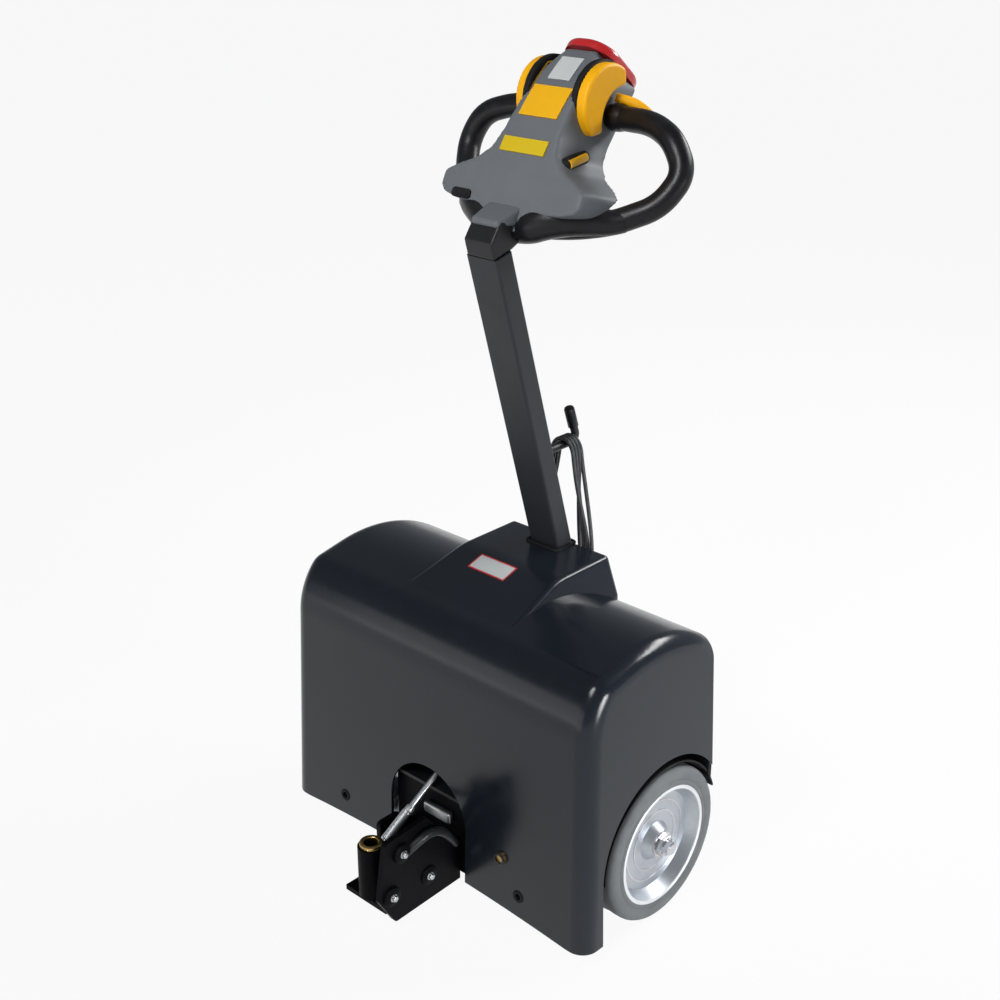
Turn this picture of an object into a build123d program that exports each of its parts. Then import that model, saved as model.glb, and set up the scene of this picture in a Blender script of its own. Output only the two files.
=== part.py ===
import os
from math import cos, radians, sin, tan

from build123d import *

# Pedestrian electric tow tractor, millimetres.
# X is the machine's right, -Y its hitch end, +Z up, measured from the floor under the drive axle.

# Drive wheels and axle
wheel_radius = 115.0
tyre_width = 58.0
tyre_face_x = 295.0
tyre_shoulder = 7.0
rim_radius = 89.0
rim_lip = 5.0
rim_dish = 17.0
rim_disc = 6.0
rim_recess = 1.0
hub_radius = 21.0
hub_length = 40.0
hub_flare = 8.0
hub_recess = 4.0
shaft_radius = 10.0
shaft_end = 15.0
shaft_chamfer = 2.0
shaft_running_gap = 0.05
axle_tube_radius = 28.0
axle_tube_end_x = 215.0
axle_pad_x = 130.0
axle_pad_width = 60.0
gear_case_radius = 42.0
gear_barrel_radius = 35.0
gear_case_width = 120.0
motor_radius = 35.0
motor_end_y = -138.0
motor_start_y = -46.0

# Hood
hood_wall = 4.0
hood_bottom = 23.0
hood_half_width = 299.0
hood_front = -173.6
hood_rear = 113.5
hood_draft = 1.8
hood_side_round = 26.0
shoulder_z = 340.0
crease_y = -127.0
crease_z = 420.0
crease_round = 34.0
crown_y = -75.0
crown_z = 430.4
hood_rear_top_z = 397.0
hood_rear_overrun = 60.0
hood_rear_hem_z = 190.0
front_hem_rise = 12.0
front_hem_half = 265.0
arch_gap = 19.0
arch_inner_x = 229.0
hitch_mouth_radius = 76.0
hitch_mouth_z = 115.0
hood_bolt_x = 178.0
hood_bolt_z = 63.0
hood_bolt_radius = 4.5
fitting_x = 144.5
fitting_z = 110.0
fitting_radius = 6.0
fitting_flange = 9.0
fitting_proud = 3.0
fitting_gap = 0.1

# Hump along the hood's middle
hump_half_top = 92.0
hump_half_foot = 112.0
hump_half_hem = 116.0
hump_top_z = 456.0
hump_foot_z = 399.0
hump_flat_y = 0.0
hump_rear = 113.0
hump_ramp_round = 90.0
hump_edge_round = 8.0
hump_root = 62.0
hump_sink = 45.0
hump_start_sink = 0.8

# Room that cutting forms leave around what they cut
cut_margin = 20.0
cut_reach = 60.0

# Frame
plate = 5.0
deck_z = 150.0
deck_clear = 15.0
rail_half = 205.0
rail_bottom = 45.0
rear_panel_bottom = 55.0
rear_panel_lap = 25.0
hitch_plate_y = -155.0
hitch_plate_depth = 10.0
hitch_plate_half = 78.0
hitch_plate_bottom = 30.0
post_half = 24.0
post_front = 74.0
post_rear = 106.0
post_step = 60.0
battery_length = 330.0
battery_width = 172.0
battery_height = 170.0
battery_rear = 62.0

# Casters
caster_inset = 92.0
caster_y = -88.0
caster_trail = 28.0
caster_radius = 40.0
caster_width = 30.0
caster_hub_radius = 27.0
caster_axle_radius = 5.0
caster_plate_half = 42.0
caster_plate = 5.0
caster_head_radius = 27.0
caster_head_height = 17.0
caster_gap = 0.3
fork_wall = 4.0
fork_gap = 5.0
fork_crown = 6.0
fork_toe = 14.0
caster_shoulder = 4.0
caster_boss = 10.0
caster_axle_proud = 3.0
caster_hub_recess = 1.0

# Hitch
cheek_x = 41.0
cheek = 8.0
cheek_top_y = -219.0
cheek_top_z = 155.0
cheek_nose_y = -298.0
cheek_nose_z = 150.0
cheek_tip_y = -312.0
cheek_tip_z = 62.0
cheek_low_y = -283.0
cheek_low_z = 14.0
cheek_foot_z = 18.0
cheek_root_z = 78.0
cheek_round = 7.0
short_cheek_y = -226.0
short_cheek_z = 104.0
short_cheek_slope = 34.0
jaw_z = 29.0
jaw = 8.0
pin_y = -280.0
pin_tube_radius = 19.5
pin_tube_top = 117.0
pin_bore_radius = 10.0
collar_radius = 16.5
collar_height = 6.0
rod_radius = 4.2
rod_low_y = -258.0
rod_low_z = 109.0
rod_high_y = -122.0
rod_high_z = 189.0
rod_bracket = 18.0
rod_bracket_depth = 12.0
rod_bracket_rise = 12.0
seat_gap = 0.2

# Tiller arm and knuckle
arm_width = 55.0
arm_depth = 31.0
arm_wall = 4.0
arm_round = 4.0
arm_lean = 16.1
arm_foot_y = 77.0
arm_foot_z = 450.0
arm_top_z = 904.0
arm_slot_gap = 2.0
arm_sink = 40.0
knuckle_rise = 24.0
knuckle_reach = 62.0
knuckle_drop = 52.0
knuckle_width = 50.0

# Tiller head, laid out along its own tilted axis
head_tilt = 50.5
head_base_y = -22.0
head_base_z = 936.0
head_length = 264.0
head_crown = 27.0
head_end_rise = 11.0
head_depth = 72.0
head_end_depth = 84.0
head_half = 48.0
head_keel = 68.0
head_keel_half = 28.0
head_flank_lean = 23.6
chin_half = 30.0
chin_depth = 14.0
wing_half = 121.0
head_round = 9.0
trim = 2.0
cap_half = 41.0
cap_high = 18.0
cap_low = 92.0
cap_thick = 14.0
cap_corner = 36.0
cap_round = 7.0

# Throttles on the head's sides, bean shaped around the handle bar
throttle_share = 0.788
throttle_half_length = 51.0
throttle_end_drop = 18.0
throttle_front = 31.0
throttle_waist = 14.0
throttle_nib = 15.0
throttle_sink = 12.0
throttle_width = 13.0
throttle_round = 6.0

# Side button on the right flank
button_radius = 6.5
button_low_share = 0.383
button_low_rise = 7.0
button_low_half = 65.0
button_high_share = 0.5
button_high_drop = 27.0
button_high_half = 54.0

# Handle loops
loop_radius = 16.0
loop_share = 0.779
loop_drop = 48.3
loop_low_u = 29.8
loop_low_drop = 29.9
loop_reach = 187.0
loop_sink = 4.0

# Hook, gland, lead and plug
hook_z = 601.0
hook_reach_y = 144.0
hook_radius = 6.0
hook_rise = 52.0
hook_bend = 10.0
hook_lean = 0.35
lead_radius = 3.0
hank_y = 109.5
hank_depth = 25.0
hank_low_y = 117.0
hank_low_z = 470.0
hank_over = 7.0
hank_gap = 0.3
hank_crest = 10.0
hank_neck = 27.0
hank_neck_drop = 9.0
hank_half = 59.0
hank_wide_z = 440.0
hank_foot = 34.0
hank_bottom_z = 380.0
hank_round = 30.0
lead_in_x = 28.0
gland_x = 44.0
gland_z = 208.0
gland_radius = 9.0
gland_nut = 9.0
gland_boot_radius = 7.0
gland_boot_end = 4.2
gland_boot = 24.0
lead_sag = 48.0
lead_hang_y = 129.0
tail_length = 46.0
plug_x = -28.0
plug_length = 44.0
plug_width = 34.0
plug_depth = 18.0

sides = (("right", 1), ("left", -1))
wheel_z = wheel_radius
deck_half = tyre_face_x - tyre_width - deck_clear
caster_x = deck_half - caster_inset
draft_slope = tan(radians(hood_draft))
nodes = {}
cord_names = ("charge_lead", "charge_lead_hank", "charge_lead_tail", "charge_plug")


def block(x0, x1, y0, y1, z0, z1):
    return Pos((x0 + x1) / 2, (y0 + y1) / 2, (z0 + z1) / 2) * Box(x1 - x0, y1 - y0, z1 - z0)


def rod_x(radius, x0, x1, y, z):
    return Pos((x0 + x1) / 2, y, z) * Rot(0, 90, 0) * Cylinder(radius, x1 - x0)


def rod_y(radius, y0, y1, x, z):
    return Pos(x, (y0 + y1) / 2, z) * Rot(90, 0, 0) * Cylinder(radius, y1 - y0)


def rod_z(radius, z0, z1, x, y):
    return Pos(x, y, (z0 + z1) / 2) * Cylinder(radius, z1 - z0)


def mirror_x(shape):
    return mirror(shape, about=Plane.YZ)


def bent_tube(points, radius):
    # straight runs joined by arcs as large as the runs allow
    bends = []
    for before, here, after in zip(points, points[1:], points[2:]):
        turn = (here - before).get_angle(after - here)
        run = min((here - before).length, (after - here).length)
        bends.append(0.45 * run / tan(radians(turn / 2)))
    path = FilletPolyline(*points, radius=bends)
    print("tube bends", [round(bend, 1) for bend in bends], "length", round(path.length, 1))
    return sweep(Plane(origin=path @ 0, z_dir=path % 0) * Circle(radius), path=path)


def front_y(z):
    return hood_front + (z - hood_bottom) * draft_slope


def rear_y(z):
    return hood_rear - (z - hood_bottom) * draft_slope


# Hood

def lobes(inset, bottom):
    # the two barrel lobes and the front as one drafted form, moved in by inset and cut off square behind
    front_foot = Vector(front_y(bottom), bottom)
    shoulder = Vector(front_y(shoulder_z), shoulder_z)
    crease = Vector(crease_y, crease_z)
    crown = Vector(crown_y, crown_z)
    rear_top = Vector(rear_y(hood_rear_top_z), hood_rear_top_z)
    fall = TangentArc(crown, rear_top, tangent=crown - crease)
    beyond = rear_top + (fall % 1) * hood_rear_overrun
    outline = [
        Line(front_foot, shoulder),
        TangentArc(shoulder, crease, tangent=(draft_slope, 1)),
        Line(crease, crown),
        fall,
        Line(rear_top, beyond),
        Polyline(beyond, (beyond.X, bottom), front_foot),
    ]
    profile = make_face(Curve() + outline)
    corners = profile.vertices().sort_by(lambda v: (Vector(v.X, v.Y) - crease).length)
    profile = fillet(corners[0], crease_round)
    if inset:
        profile = offset(profile, -inset, kind=Kind.INTERSECTION)
    span = extrude(Plane.YZ * profile, hood_half_width + hood_wall, both=True)
    top = crown_z + hood_side_round
    half_low = hood_half_width - inset - (bottom - hood_bottom) * draft_slope
    half_high = hood_half_width - inset - (top - hood_bottom) * draft_slope
    section = make_face(Polyline((-half_low, bottom), (half_low, bottom), (half_high, top),
                                 (-half_high, top), close=True))
    walls = extrude(Plane.XZ * section, 2 * (hood_rear - hood_front), both=True)
    form = span & walls
    low = form.bounding_box().min.Z
    back = form.bounding_box().max.Y
    edges = []
    for face in (form.faces().sort_by(Axis.X)[0], form.faces().sort_by(Axis.X)[-1]):
        edges += [edge for edge in face.edges()
                  if edge.bounding_box().max.Z > low + 1 and edge.center().Y < back - 1]
    form = fillet(edges, hood_side_round - inset)
    under = bottom - cut_margin
    behind = make_face(Polyline((rear_y(under) - inset, under), (rear_y(top) - inset, top),
                                (back + cut_margin, top), (back + cut_margin, under), close=True))
    return form - extrude(Plane.YZ * behind, 2 * hood_half_width, both=True)


def hump(inset):
    # the middle hump, rising from the crease to the tiller and falling down the rear wall
    start_y = crease_y + crease_round / 2
    start_z = crease_z + (start_y - crease_y) * (crown_z - crease_z) / (crown_y - crease_y)
    start_z -= hump_start_sink
    inner_y = hood_rear - hump_root
    rear_hem = hump_rear + (hump_top_z - hood_rear_hem_z) * draft_slope
    floor = hood_rear_hem_z - 2 * inset
    outline = Polyline((start_y, start_z), (hump_flat_y, hump_top_z), (hump_rear, hump_top_z),
                       (rear_hem, floor), (inner_y, floor), (inner_y, start_z - hump_sink),
                       (start_y, start_z - hump_sink), close=True)
    profile = make_face(outline)
    ramp_top = profile.vertices().sort_by(
        lambda v: (Vector(v.X, v.Y) - Vector(hump_flat_y, hump_top_z)).length)[0]
    profile = fillet(ramp_top, hump_ramp_round)
    slope = (hump_half_foot - hump_half_top) / (hump_top_z - hump_foot_z)
    high = hump_top_z + cut_margin
    half_high = hump_half_top - cut_margin * slope
    section = make_face(Polyline((-hump_half_hem, floor), (hump_half_hem, floor),
                                 (hump_half_foot, hump_foot_z), (half_high, high), (-half_high, high),
                                 (-hump_half_foot, hump_foot_z), close=True))
    if inset:
        profile = offset(profile, -inset, kind=Kind.INTERSECTION)
        section = offset(section, -inset, kind=Kind.INTERSECTION)
    span = extrude(Plane.YZ * profile, 2 * hump_half_hem, both=True)
    walls = extrude(Plane.XZ * section, 2 * (hood_rear - hood_front), both=True)
    form = span & walls
    if inset:
        return form
    rear_edges = [e for e in form.edges() if e.center().Y > hump_rear - 1 and e.center().Z > floor + 1]
    outer = form.edges().filter_by(lambda e: abs(e.center().X) > hump_half_top - hump_edge_round)
    top_edges = [e for e in outer if e.center().Z > hump_foot_z + hump_edge_round
                 and start_y + 1 < e.center().Y < hump_rear - 1]
    return fillet(rear_edges + top_edges, hump_edge_round)


def arch_cut():
    radius = wheel_radius + arch_gap
    outer = hood_half_width + cut_margin
    cut = rod_x(radius, arch_inner_x, outer, 0, wheel_z)
    return cut + block(arch_inner_x, outer, -radius, hump_rear + cut_reach, -cut_margin, wheel_z)


def mouth_cut(y0, y1, margin):
    radius = hitch_mouth_radius + margin
    return (rod_y(radius, y0, y1, 0, hitch_mouth_z)
            + block(-radius, radius, y0, y1, -cut_margin, hitch_mouth_z))


def front_hole(shape, radius, x, z):
    return shape - rod_y(radius, hood_front - cut_margin, hood_front + cut_reach, x, z)


def build_hood():
    shell = lobes(0, hood_bottom) + hump(0)
    shell -= lobes(hood_wall, hood_bottom - 3 * hood_wall)
    shell -= hump(hood_wall)
    shell -= arch_cut()
    shell -= mirror_x(arch_cut())
    shell -= mouth_cut(hood_front - cut_margin, hood_front + cut_reach, 0)
    hem = make_face(Curve() + [
        ThreePointArc((-front_hem_half, hood_bottom), (0, hood_bottom + front_hem_rise),
                      (front_hem_half, hood_bottom)),
        Polyline((front_hem_half, hood_bottom), (front_hem_half, 0), (-front_hem_half, 0),
                 (-front_hem_half, hood_bottom))])
    shell -= Pos(0, hood_front + cut_reach, 0) * extrude(Plane.XZ * hem, 2 * cut_reach)
    wide = hood_half_width + cut_margin
    shell -= block(-wide, wide, 0, hump_rear + cut_reach, -cut_margin, hood_rear_hem_z)
    for x in (-hood_bolt_x, hood_bolt_x):
        shell = front_hole(shell, hood_bolt_radius, x, hood_bolt_z)
    shell = front_hole(shell, fitting_radius, fitting_x, fitting_z)
    return shell - arm_prism(arm_slot_gap, arm_foot_z - cut_reach, arm_foot_z + cut_reach)


# Frame, battery and drive

def build_frame():
    skin = lobes(hood_wall, 0)
    deck_room = lobes(hood_wall + plate, 0)
    rail = (skin - deck_room) & block(-rail_half, rail_half, hood_front - cut_margin,
                                      hood_front + cut_reach, rail_bottom, deck_z)
    rail -= mouth_cut(hood_front - cut_margin, hood_front + cut_reach, hood_wall)
    for x in (-hood_bolt_x, hood_bolt_x):
        rail = front_hole(rail, hood_bolt_radius, x, hood_bolt_z)
    nodes["front_rail"] = front_hole(rail, fitting_radius, fitting_x, fitting_z)
    face = front_y(fitting_z)
    flange = rod_y(fitting_flange, face - fitting_proud, face + hood_wall, fitting_x, fitting_z)
    fitting = flange - lobes(0, hood_bottom)
    fitting += rod_y(fitting_radius - fitting_gap, face - fitting_proud / 2, face + hood_wall + 2 * plate,
                     fitting_x, fitting_z)
    nodes["front_fitting"] = fitting
    nodes["rear_panel"] = (skin - deck_room) & block(-deck_half, deck_half, hood_rear / 2,
                                                     hood_rear + cut_margin, rear_panel_bottom,
                                                     hood_rear_hem_z + rear_panel_lap)
    nodes["base_plate"] = deck_room & block(-deck_half, deck_half, hood_front, hood_rear + cut_margin,
                                            deck_z, deck_z + plate)
    nodes["hitch_mount_plate"] = block(-hitch_plate_half, hitch_plate_half, hitch_plate_y,
                                       hitch_plate_y + hitch_plate_depth, hitch_plate_bottom, deck_z)
    deck_top = deck_z + plate
    rear_face = rear_y(deck_top) - hood_wall - 2 * plate
    step = hood_rear_hem_z + post_step
    post = block(-post_half, post_half, post_front, rear_face, deck_top, step)
    post += block(-post_half, post_half, post_front, post_rear, step, arm_foot_z)
    nodes["tiller_post"] = post
    nodes["battery_pack"] = block(-battery_length / 2, battery_length / 2, battery_rear - battery_width,
                                  battery_rear, deck_top, deck_top + battery_height)


def build_drive():
    housing = rod_x(axle_tube_radius, -axle_tube_end_x, axle_tube_end_x, 0, wheel_z)
    housing += rod_x(gear_barrel_radius, -gear_case_width / 2, gear_case_width / 2, 0, wheel_z)
    housing += rod_y(gear_case_radius, motor_start_y, axle_tube_radius, 0, wheel_z) & block(
        -gear_case_radius, gear_case_radius, motor_end_y, hood_rear, 0, deck_z)
    for side in (-1, 1):
        x = side * axle_pad_x
        housing += block(x - axle_pad_width / 2, x + axle_pad_width / 2, -axle_tube_radius,
                         axle_tube_radius, wheel_z, deck_z)
        end = side * axle_tube_end_x
        bottom = end - side * tyre_width
        housing -= rod_x(shaft_radius + shaft_running_gap, min(end, bottom), max(end, bottom), 0, wheel_z)
    nodes["drive_axle_housing"] = housing
    nodes["drive_motor"] = rod_y(motor_radius, motor_end_y, motor_start_y, 0, wheel_z)


def build_wheel():
    # wheel on the right: tyre, dished rim and the shaft that turns with them
    inner_x = tyre_face_x - tyre_width
    tyre = rod_x(wheel_radius, inner_x, tyre_face_x, 0, wheel_z)
    tyre = fillet(tyre.edges(), tyre_shoulder)
    tyre -= rod_x(rim_radius, inner_x - cut_margin, tyre_face_x + cut_margin, 0, wheel_z)
    outer_x = tyre_face_x - rim_recess
    back_x = inner_x + rim_recess
    dish_x = outer_x - rim_dish
    hub_x = outer_x - hub_recess
    dish_radius = rim_radius - 3 * rim_lip
    section = make_face(Polyline(
        (back_x, rim_radius), (outer_x, rim_radius), (outer_x, rim_radius - rim_lip),
        (dish_x, dish_radius), (dish_x, hub_radius + hub_flare), (hub_x, hub_radius),
        (hub_x, shaft_radius), (hub_x - hub_length, shaft_radius), (hub_x - hub_length, hub_radius),
        (dish_x - rim_disc, hub_radius + hub_flare), (dish_x - rim_disc, dish_radius - rim_disc),
        (back_x, rim_radius - rim_lip), close=True))
    rim = Pos(0, 0, wheel_z) * revolve(Plane.XZ * section, Axis.X)
    bore_end = axle_tube_end_x - tyre_width + hub_recess
    shaft = rod_x(shaft_radius, bore_end, tyre_face_x + shaft_end, 0, wheel_z)
    shaft = chamfer(shaft.edges().group_by(Axis.X)[-1], shaft_chamfer)
    return {"tyre": tyre, "rim": rim, "axle_shaft": shaft}


# Casters

def build_caster():
    # caster on the right, its wheel trailing towards the hitch
    wheel_y = caster_y - caster_trail
    top = deck_z - caster_plate
    head_low = top - caster_head_height
    mount = block(caster_x - caster_plate_half, caster_x + caster_plate_half,
                  caster_y - caster_plate_half, caster_y + caster_plate_half, top, deck_z)
    mount += rod_z(caster_head_radius, head_low, top, caster_x, caster_y)
    crown_top = head_low - caster_gap
    crown_low = crown_top - fork_crown
    half = caster_width / 2 + fork_gap
    outer = half + fork_wall
    reach = caster_head_radius
    fork = block(caster_x - outer, caster_x + outer, caster_y - reach, caster_y + reach, crown_low, crown_top)
    leg = make_face(Polyline((caster_y + reach, crown_top), (caster_y - reach, crown_top),
                             (wheel_y - fork_toe, caster_radius), (wheel_y, caster_radius - fork_toe),
                             (wheel_y + fork_toe, caster_radius), close=True))
    for x in (caster_x - outer, caster_x + half):
        fork += Pos(x, 0, 0) * extrude(Plane.YZ * leg, fork_wall)
    axle_half = outer + caster_axle_proud
    fork += rod_x(caster_axle_radius, caster_x - axle_half, caster_x + axle_half, wheel_y, caster_radius)
    face = caster_width / 2
    tyre = rod_x(caster_radius, caster_x - face, caster_x + face, wheel_y, caster_radius)
    tyre = fillet(tyre.edges(), caster_shoulder)
    tyre -= rod_x(caster_hub_radius, caster_x - outer, caster_x + outer, wheel_y, caster_radius)
    hub_face = face - caster_hub_recess
    hub = rod_x(caster_hub_radius, caster_x - hub_face, caster_x + hub_face, wheel_y, caster_radius)
    boss_face = half - caster_gap
    hub += rod_x(caster_boss, caster_x - boss_face, caster_x + boss_face, wheel_y, caster_radius)
    hub -= rod_x(caster_axle_radius + shaft_running_gap, caster_x - outer, caster_x + outer, wheel_y,
                 caster_radius)
    return {"caster_mount": mount, "caster_fork": fork, "caster_tyre": tyre, "caster_hub": hub}


# Hitch

def build_hitch():
    # cheek outline: a bolted plate that rises over the pin and runs down to a pointed toe
    outline = make_face(Polyline(
        (hitch_plate_y, cheek_foot_z), (hitch_plate_y, cheek_root_z), (cheek_top_y, cheek_top_z),
        (cheek_nose_y, cheek_nose_z), (cheek_tip_y, cheek_tip_z), (cheek_low_y, cheek_low_z), close=True))
    corners = outline.vertices().filter_by(lambda v: v.X < hitch_plate_y - cheek_round)
    outline = fillet(corners, cheek_round)
    cheek_plate = Pos(cheek_x, 0, 0) * extrude(Plane.YZ * outline, cheek)
    nodes["hitch_cheek_right"] = cheek_plate
    # the left cheek stops short of the pin, which is loaded from that side
    stub = make_face(Polyline(
        (hitch_plate_y, cheek_foot_z), (hitch_plate_y, cheek_root_z),
        (hitch_plate_y - short_cheek_slope, short_cheek_z), (short_cheek_y, short_cheek_z),
        (short_cheek_y, cheek_foot_z), close=True))
    corners = stub.vertices().filter_by(lambda v: v.X < hitch_plate_y - cheek_round)
    stub = fillet(corners, cheek_round)
    nodes["hitch_cheek_left"] = Pos(-cheek_x - cheek, 0, 0) * extrude(Plane.YZ * stub, cheek)
    collar_top = pin_tube_top + collar_height
    bore = rod_z(pin_bore_radius, 0, collar_top + cut_margin, 0, pin_y)
    jaw_plate = block(-cheek_x, cheek_x, pin_y - pin_bore_radius - jaw / 2, hitch_plate_y, jaw_z, jaw_z + jaw)
    nodes["hitch_jaw_plate"] = jaw_plate - bore
    nodes["hitch_pin_tube"] = rod_z(pin_tube_radius, jaw_z + jaw, pin_tube_top, 0, pin_y) - bore
    nodes["hitch_collar"] = rod_z(collar_radius, pin_tube_top, collar_top, 0, pin_y) - bore
    low = Vector(0, rod_low_y, rod_low_z)
    high = Vector(0, rod_high_y, rod_high_z)
    along = Plane(origin=low, z_dir=high - low)
    rod = extrude(along * Circle(rod_radius), (high - low).length)
    rod -= rod_z(pin_tube_radius + seat_gap, 0, collar_top + cut_margin, 0, pin_y)
    bracket_front = rod_high_y - rod_radius
    bracket = block(-rod_bracket / 2, rod_bracket / 2, bracket_front, bracket_front + rod_bracket_depth,
                    deck_z + plate, rod_high_z + rod_bracket_rise)
    nodes["hitch_release_rod"] = rod - bracket
    nodes["hitch_rod_bracket"] = bracket


# Tiller

arm_along = Vector(0, -sin(radians(arm_lean)), cos(radians(arm_lean)))
arm_back = Vector(0, cos(radians(arm_lean)), sin(radians(arm_lean)))
arm_length = (arm_top_z - arm_foot_z) / arm_along.Z
arm_foot = Vector(0, arm_foot_y, arm_foot_z) + arm_back * (arm_depth / 2)
arm_top = arm_foot + arm_along * arm_length


def arm_prism(margin, z0, z1):
    # the arm's section run between two heights along its lean
    start = arm_foot + arm_along * ((z0 - arm_foot_z) / arm_along.Z)
    plane = Plane(origin=start, x_dir=(1, 0, 0), z_dir=arm_along)
    section = RectangleRounded(arm_width + 2 * margin, arm_depth + 2 * margin, arm_round + max(margin, 0))
    return extrude(plane * section, (z1 - z0) / arm_along.Z)


def build_arm():
    arm = arm_prism(0, arm_foot_z - arm_sink, arm_top_z)
    hollow = RectangleRounded(arm_width - 2 * arm_wall, arm_depth - 2 * arm_wall, arm_round / 2)
    start = arm_foot - arm_along * cut_reach
    arm -= extrude(Plane(origin=start, x_dir=(1, 0, 0), z_dir=arm_along) * hollow,
                   cut_reach + arm_length - arm_wall)
    arm -= block(-arm_width, arm_width, arm_foot_y - arm_length, arm_foot_y + arm_length, 0, arm_foot_z)
    nodes["tiller_arm"] = arm
    front = arm_top - arm_back * (arm_depth / 2)
    rear = arm_top + arm_back * (arm_depth / 2)
    crook = front + arm_along * knuckle_rise
    under = head_point(knuckle_reach, -knuckle_drop, 0)
    over = head_point(0, head_crown, 0)
    outline = make_face(Polyline((front.Y, front.Z), (crook.Y, crook.Z), (over.Y, over.Z),
                                 (under.Y, under.Z), (rear.Y, rear.Z), close=True))
    knuckle = extrude(Plane.YZ * outline, knuckle_width / 2, both=True)
    nodes["tiller_knuckle"] = knuckle - head_form(0)


# Tiller head: u runs up along its tilt, w stands off its top

head_u = Vector(0, cos(radians(head_tilt)), sin(radians(head_tilt)))
head_w = Vector(0, -sin(radians(head_tilt)), cos(radians(head_tilt)))
head_base = Vector(0, head_base_y, head_base_z)


def head_plane(x):
    return Plane(origin=head_base + Vector(x, 0, 0), x_dir=head_u, z_dir=(1, 0, 0))


def head_point(u, w, x):
    return head_base + head_u * u + head_w * w + Vector(x, 0, 0)


def head_form(rise):
    # side view of the head: arched top, stepped underside
    top = ThreePointArc((0, rise), (head_length / 2, head_crown + rise), (head_length, head_end_rise + rise))
    # underside: share of the length, share of the depth
    steps = ((0.53, 1), (0.38, 0.78), (0.27, 0.55), (0.17, 0.5), (0.115, 0.25))
    under = [(head_length, head_end_rise + rise), (head_length, -head_end_depth)]
    under += [(head_length * along, -head_depth * down) for along, down in steps]
    under += [(0, -chin_depth), (0, rise)]
    side = make_face(Curve() + [top, Polyline(*under)])
    return extrude(head_plane(0) * side, wing_half + cut_margin, both=True)


def head_outline():
    # half outline up along the head: share of the length, half-width
    stations = ((0, chin_half), (0.092, 1.25 * chin_half), (0.108, 0.46 * wing_half),
                (0.122, 0.77 * wing_half), (0.144, 0.94 * wing_half), (0.18, wing_half),
                (0.262, wing_half), (0.31, 0.83 * wing_half), (0.356, 0.615 * wing_half),
                (0.424, 1.17 * head_half), (0.54, head_half), (0.86, 0.9 * head_half),
                (1.0, 0.56 * head_half), (1.2, 0.4 * head_half))
    points = [(head_length * share, half) for share, half in stations]
    outline = make_face(Polyline(*points, *[(u, -half) for u, half in reversed(points)], close=True))
    rounded = [v for v in outline.vertices() if head_round < v.X < head_length]
    return fillet(rounded, head_round)


def build_head():
    far = 2 * head_depth
    lean = tan(radians(head_flank_lean))
    plan_plane = Plane(origin=head_base - head_w * far, x_dir=head_u, z_dir=head_w)
    plan = plan_plane * Pos(far * lean, 0) * head_outline()
    body = head_form(0) & extrude(plan, 2 * far / cos(radians(head_flank_lean)), dir=head_w - head_u * lean)
    # keel: the underside narrows below the flanks
    wide = wing_half + cut_margin
    section = make_face(Polyline((-wide, far), (wide, far), (wide, -head_keel), (head_half, -head_keel),
                                 (head_keel_half, -head_end_depth), (-head_keel_half, -head_end_depth),
                                 (-head_half, -head_keel), (-wide, -head_keel), close=True))
    across = Plane(origin=head_base - head_u * cut_margin, x_dir=(-1, 0, 0), z_dir=head_u)
    nodes["tiller_head"] = body & extrude(across * section, head_length + 2 * cut_margin)
    skin = head_form(trim) - head_form(seat_gap)
    # trim on the head's top: name, lowest and highest share of its length, share of its half-width
    for name, low, high, half in (("head_panel", 0.568, 0.746, 0.68), ("head_strip", 0.371, 0.447, 0.79),
                                  ("head_plate", 0.788, 0.932, 0.385)):
        middle = head_length * (low + high) / 2
        cutter = plan_plane * Pos(middle, 0) * Rectangle(head_length * (high - low), 2 * head_half * half)
        above = extrude(cutter, 2 * far)
        keep = head_point(middle, head_crown, 0)
        pieces = (skin & above).solids().sort_by(lambda s: (s.center() - keep).length)
        nodes[name] = pieces[0]
    cap_plane = Plane(origin=head_point(head_length, 0, 0), x_dir=(1, 0, 0), z_dir=head_u)
    outline = RectangleRounded(2 * cap_half, cap_low + cap_high, cap_corner)
    cap = extrude(cap_plane * Pos(0, (cap_low - cap_high) / 2) * outline, cap_thick)
    rim = cap.faces().sort_by(lambda f: f.center().dot(head_u))[-1].edges()
    nodes["belly_button"] = fillet(rim, cap_round)
    start = head_point(head_length * button_low_share, button_low_rise, button_low_half)
    end = head_point(head_length * button_high_share, -button_high_drop, button_high_half)
    button = extrude(Plane(origin=start, z_dir=end - start) * Circle(button_radius), (end - start).length)
    nodes["side_button"] = button - nodes["tiller_head"]


def build_loop():
    # right handle loop, from the head's side out, round and back to the knuckle
    top = head_point(head_length * loop_share, -loop_drop, 0)
    low = head_point(loop_low_u, -loop_low_drop, 0)
    # corner points: share of the reach, share of the way forward, share of the way down
    corners = ((0.631, 0.04, 0), (0.872, 0.159, 0.113), (1, 0.206, 0.419), (0.909, 0.413, 0.742),
               (0.652, 0.683, 0.927), (0.449, 0.873, 0.984), (0.278, 1, 1))
    points = [top + Vector(head_half - loop_sink, 0, 0)]
    points += [Vector(loop_reach * out, top.Y + (low.Y - top.Y) * forward, top.Z + (low.Z - top.Z) * down)
               for out, forward, down in corners]
    points.append(low + Vector(knuckle_width / 2 - 1, 0, 0))
    loop = bent_tube(points, loop_radius) - nodes["tiller_head"]
    return max((loop - nodes["tiller_knuckle"]).solids(), key=lambda s: s.volume)


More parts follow.
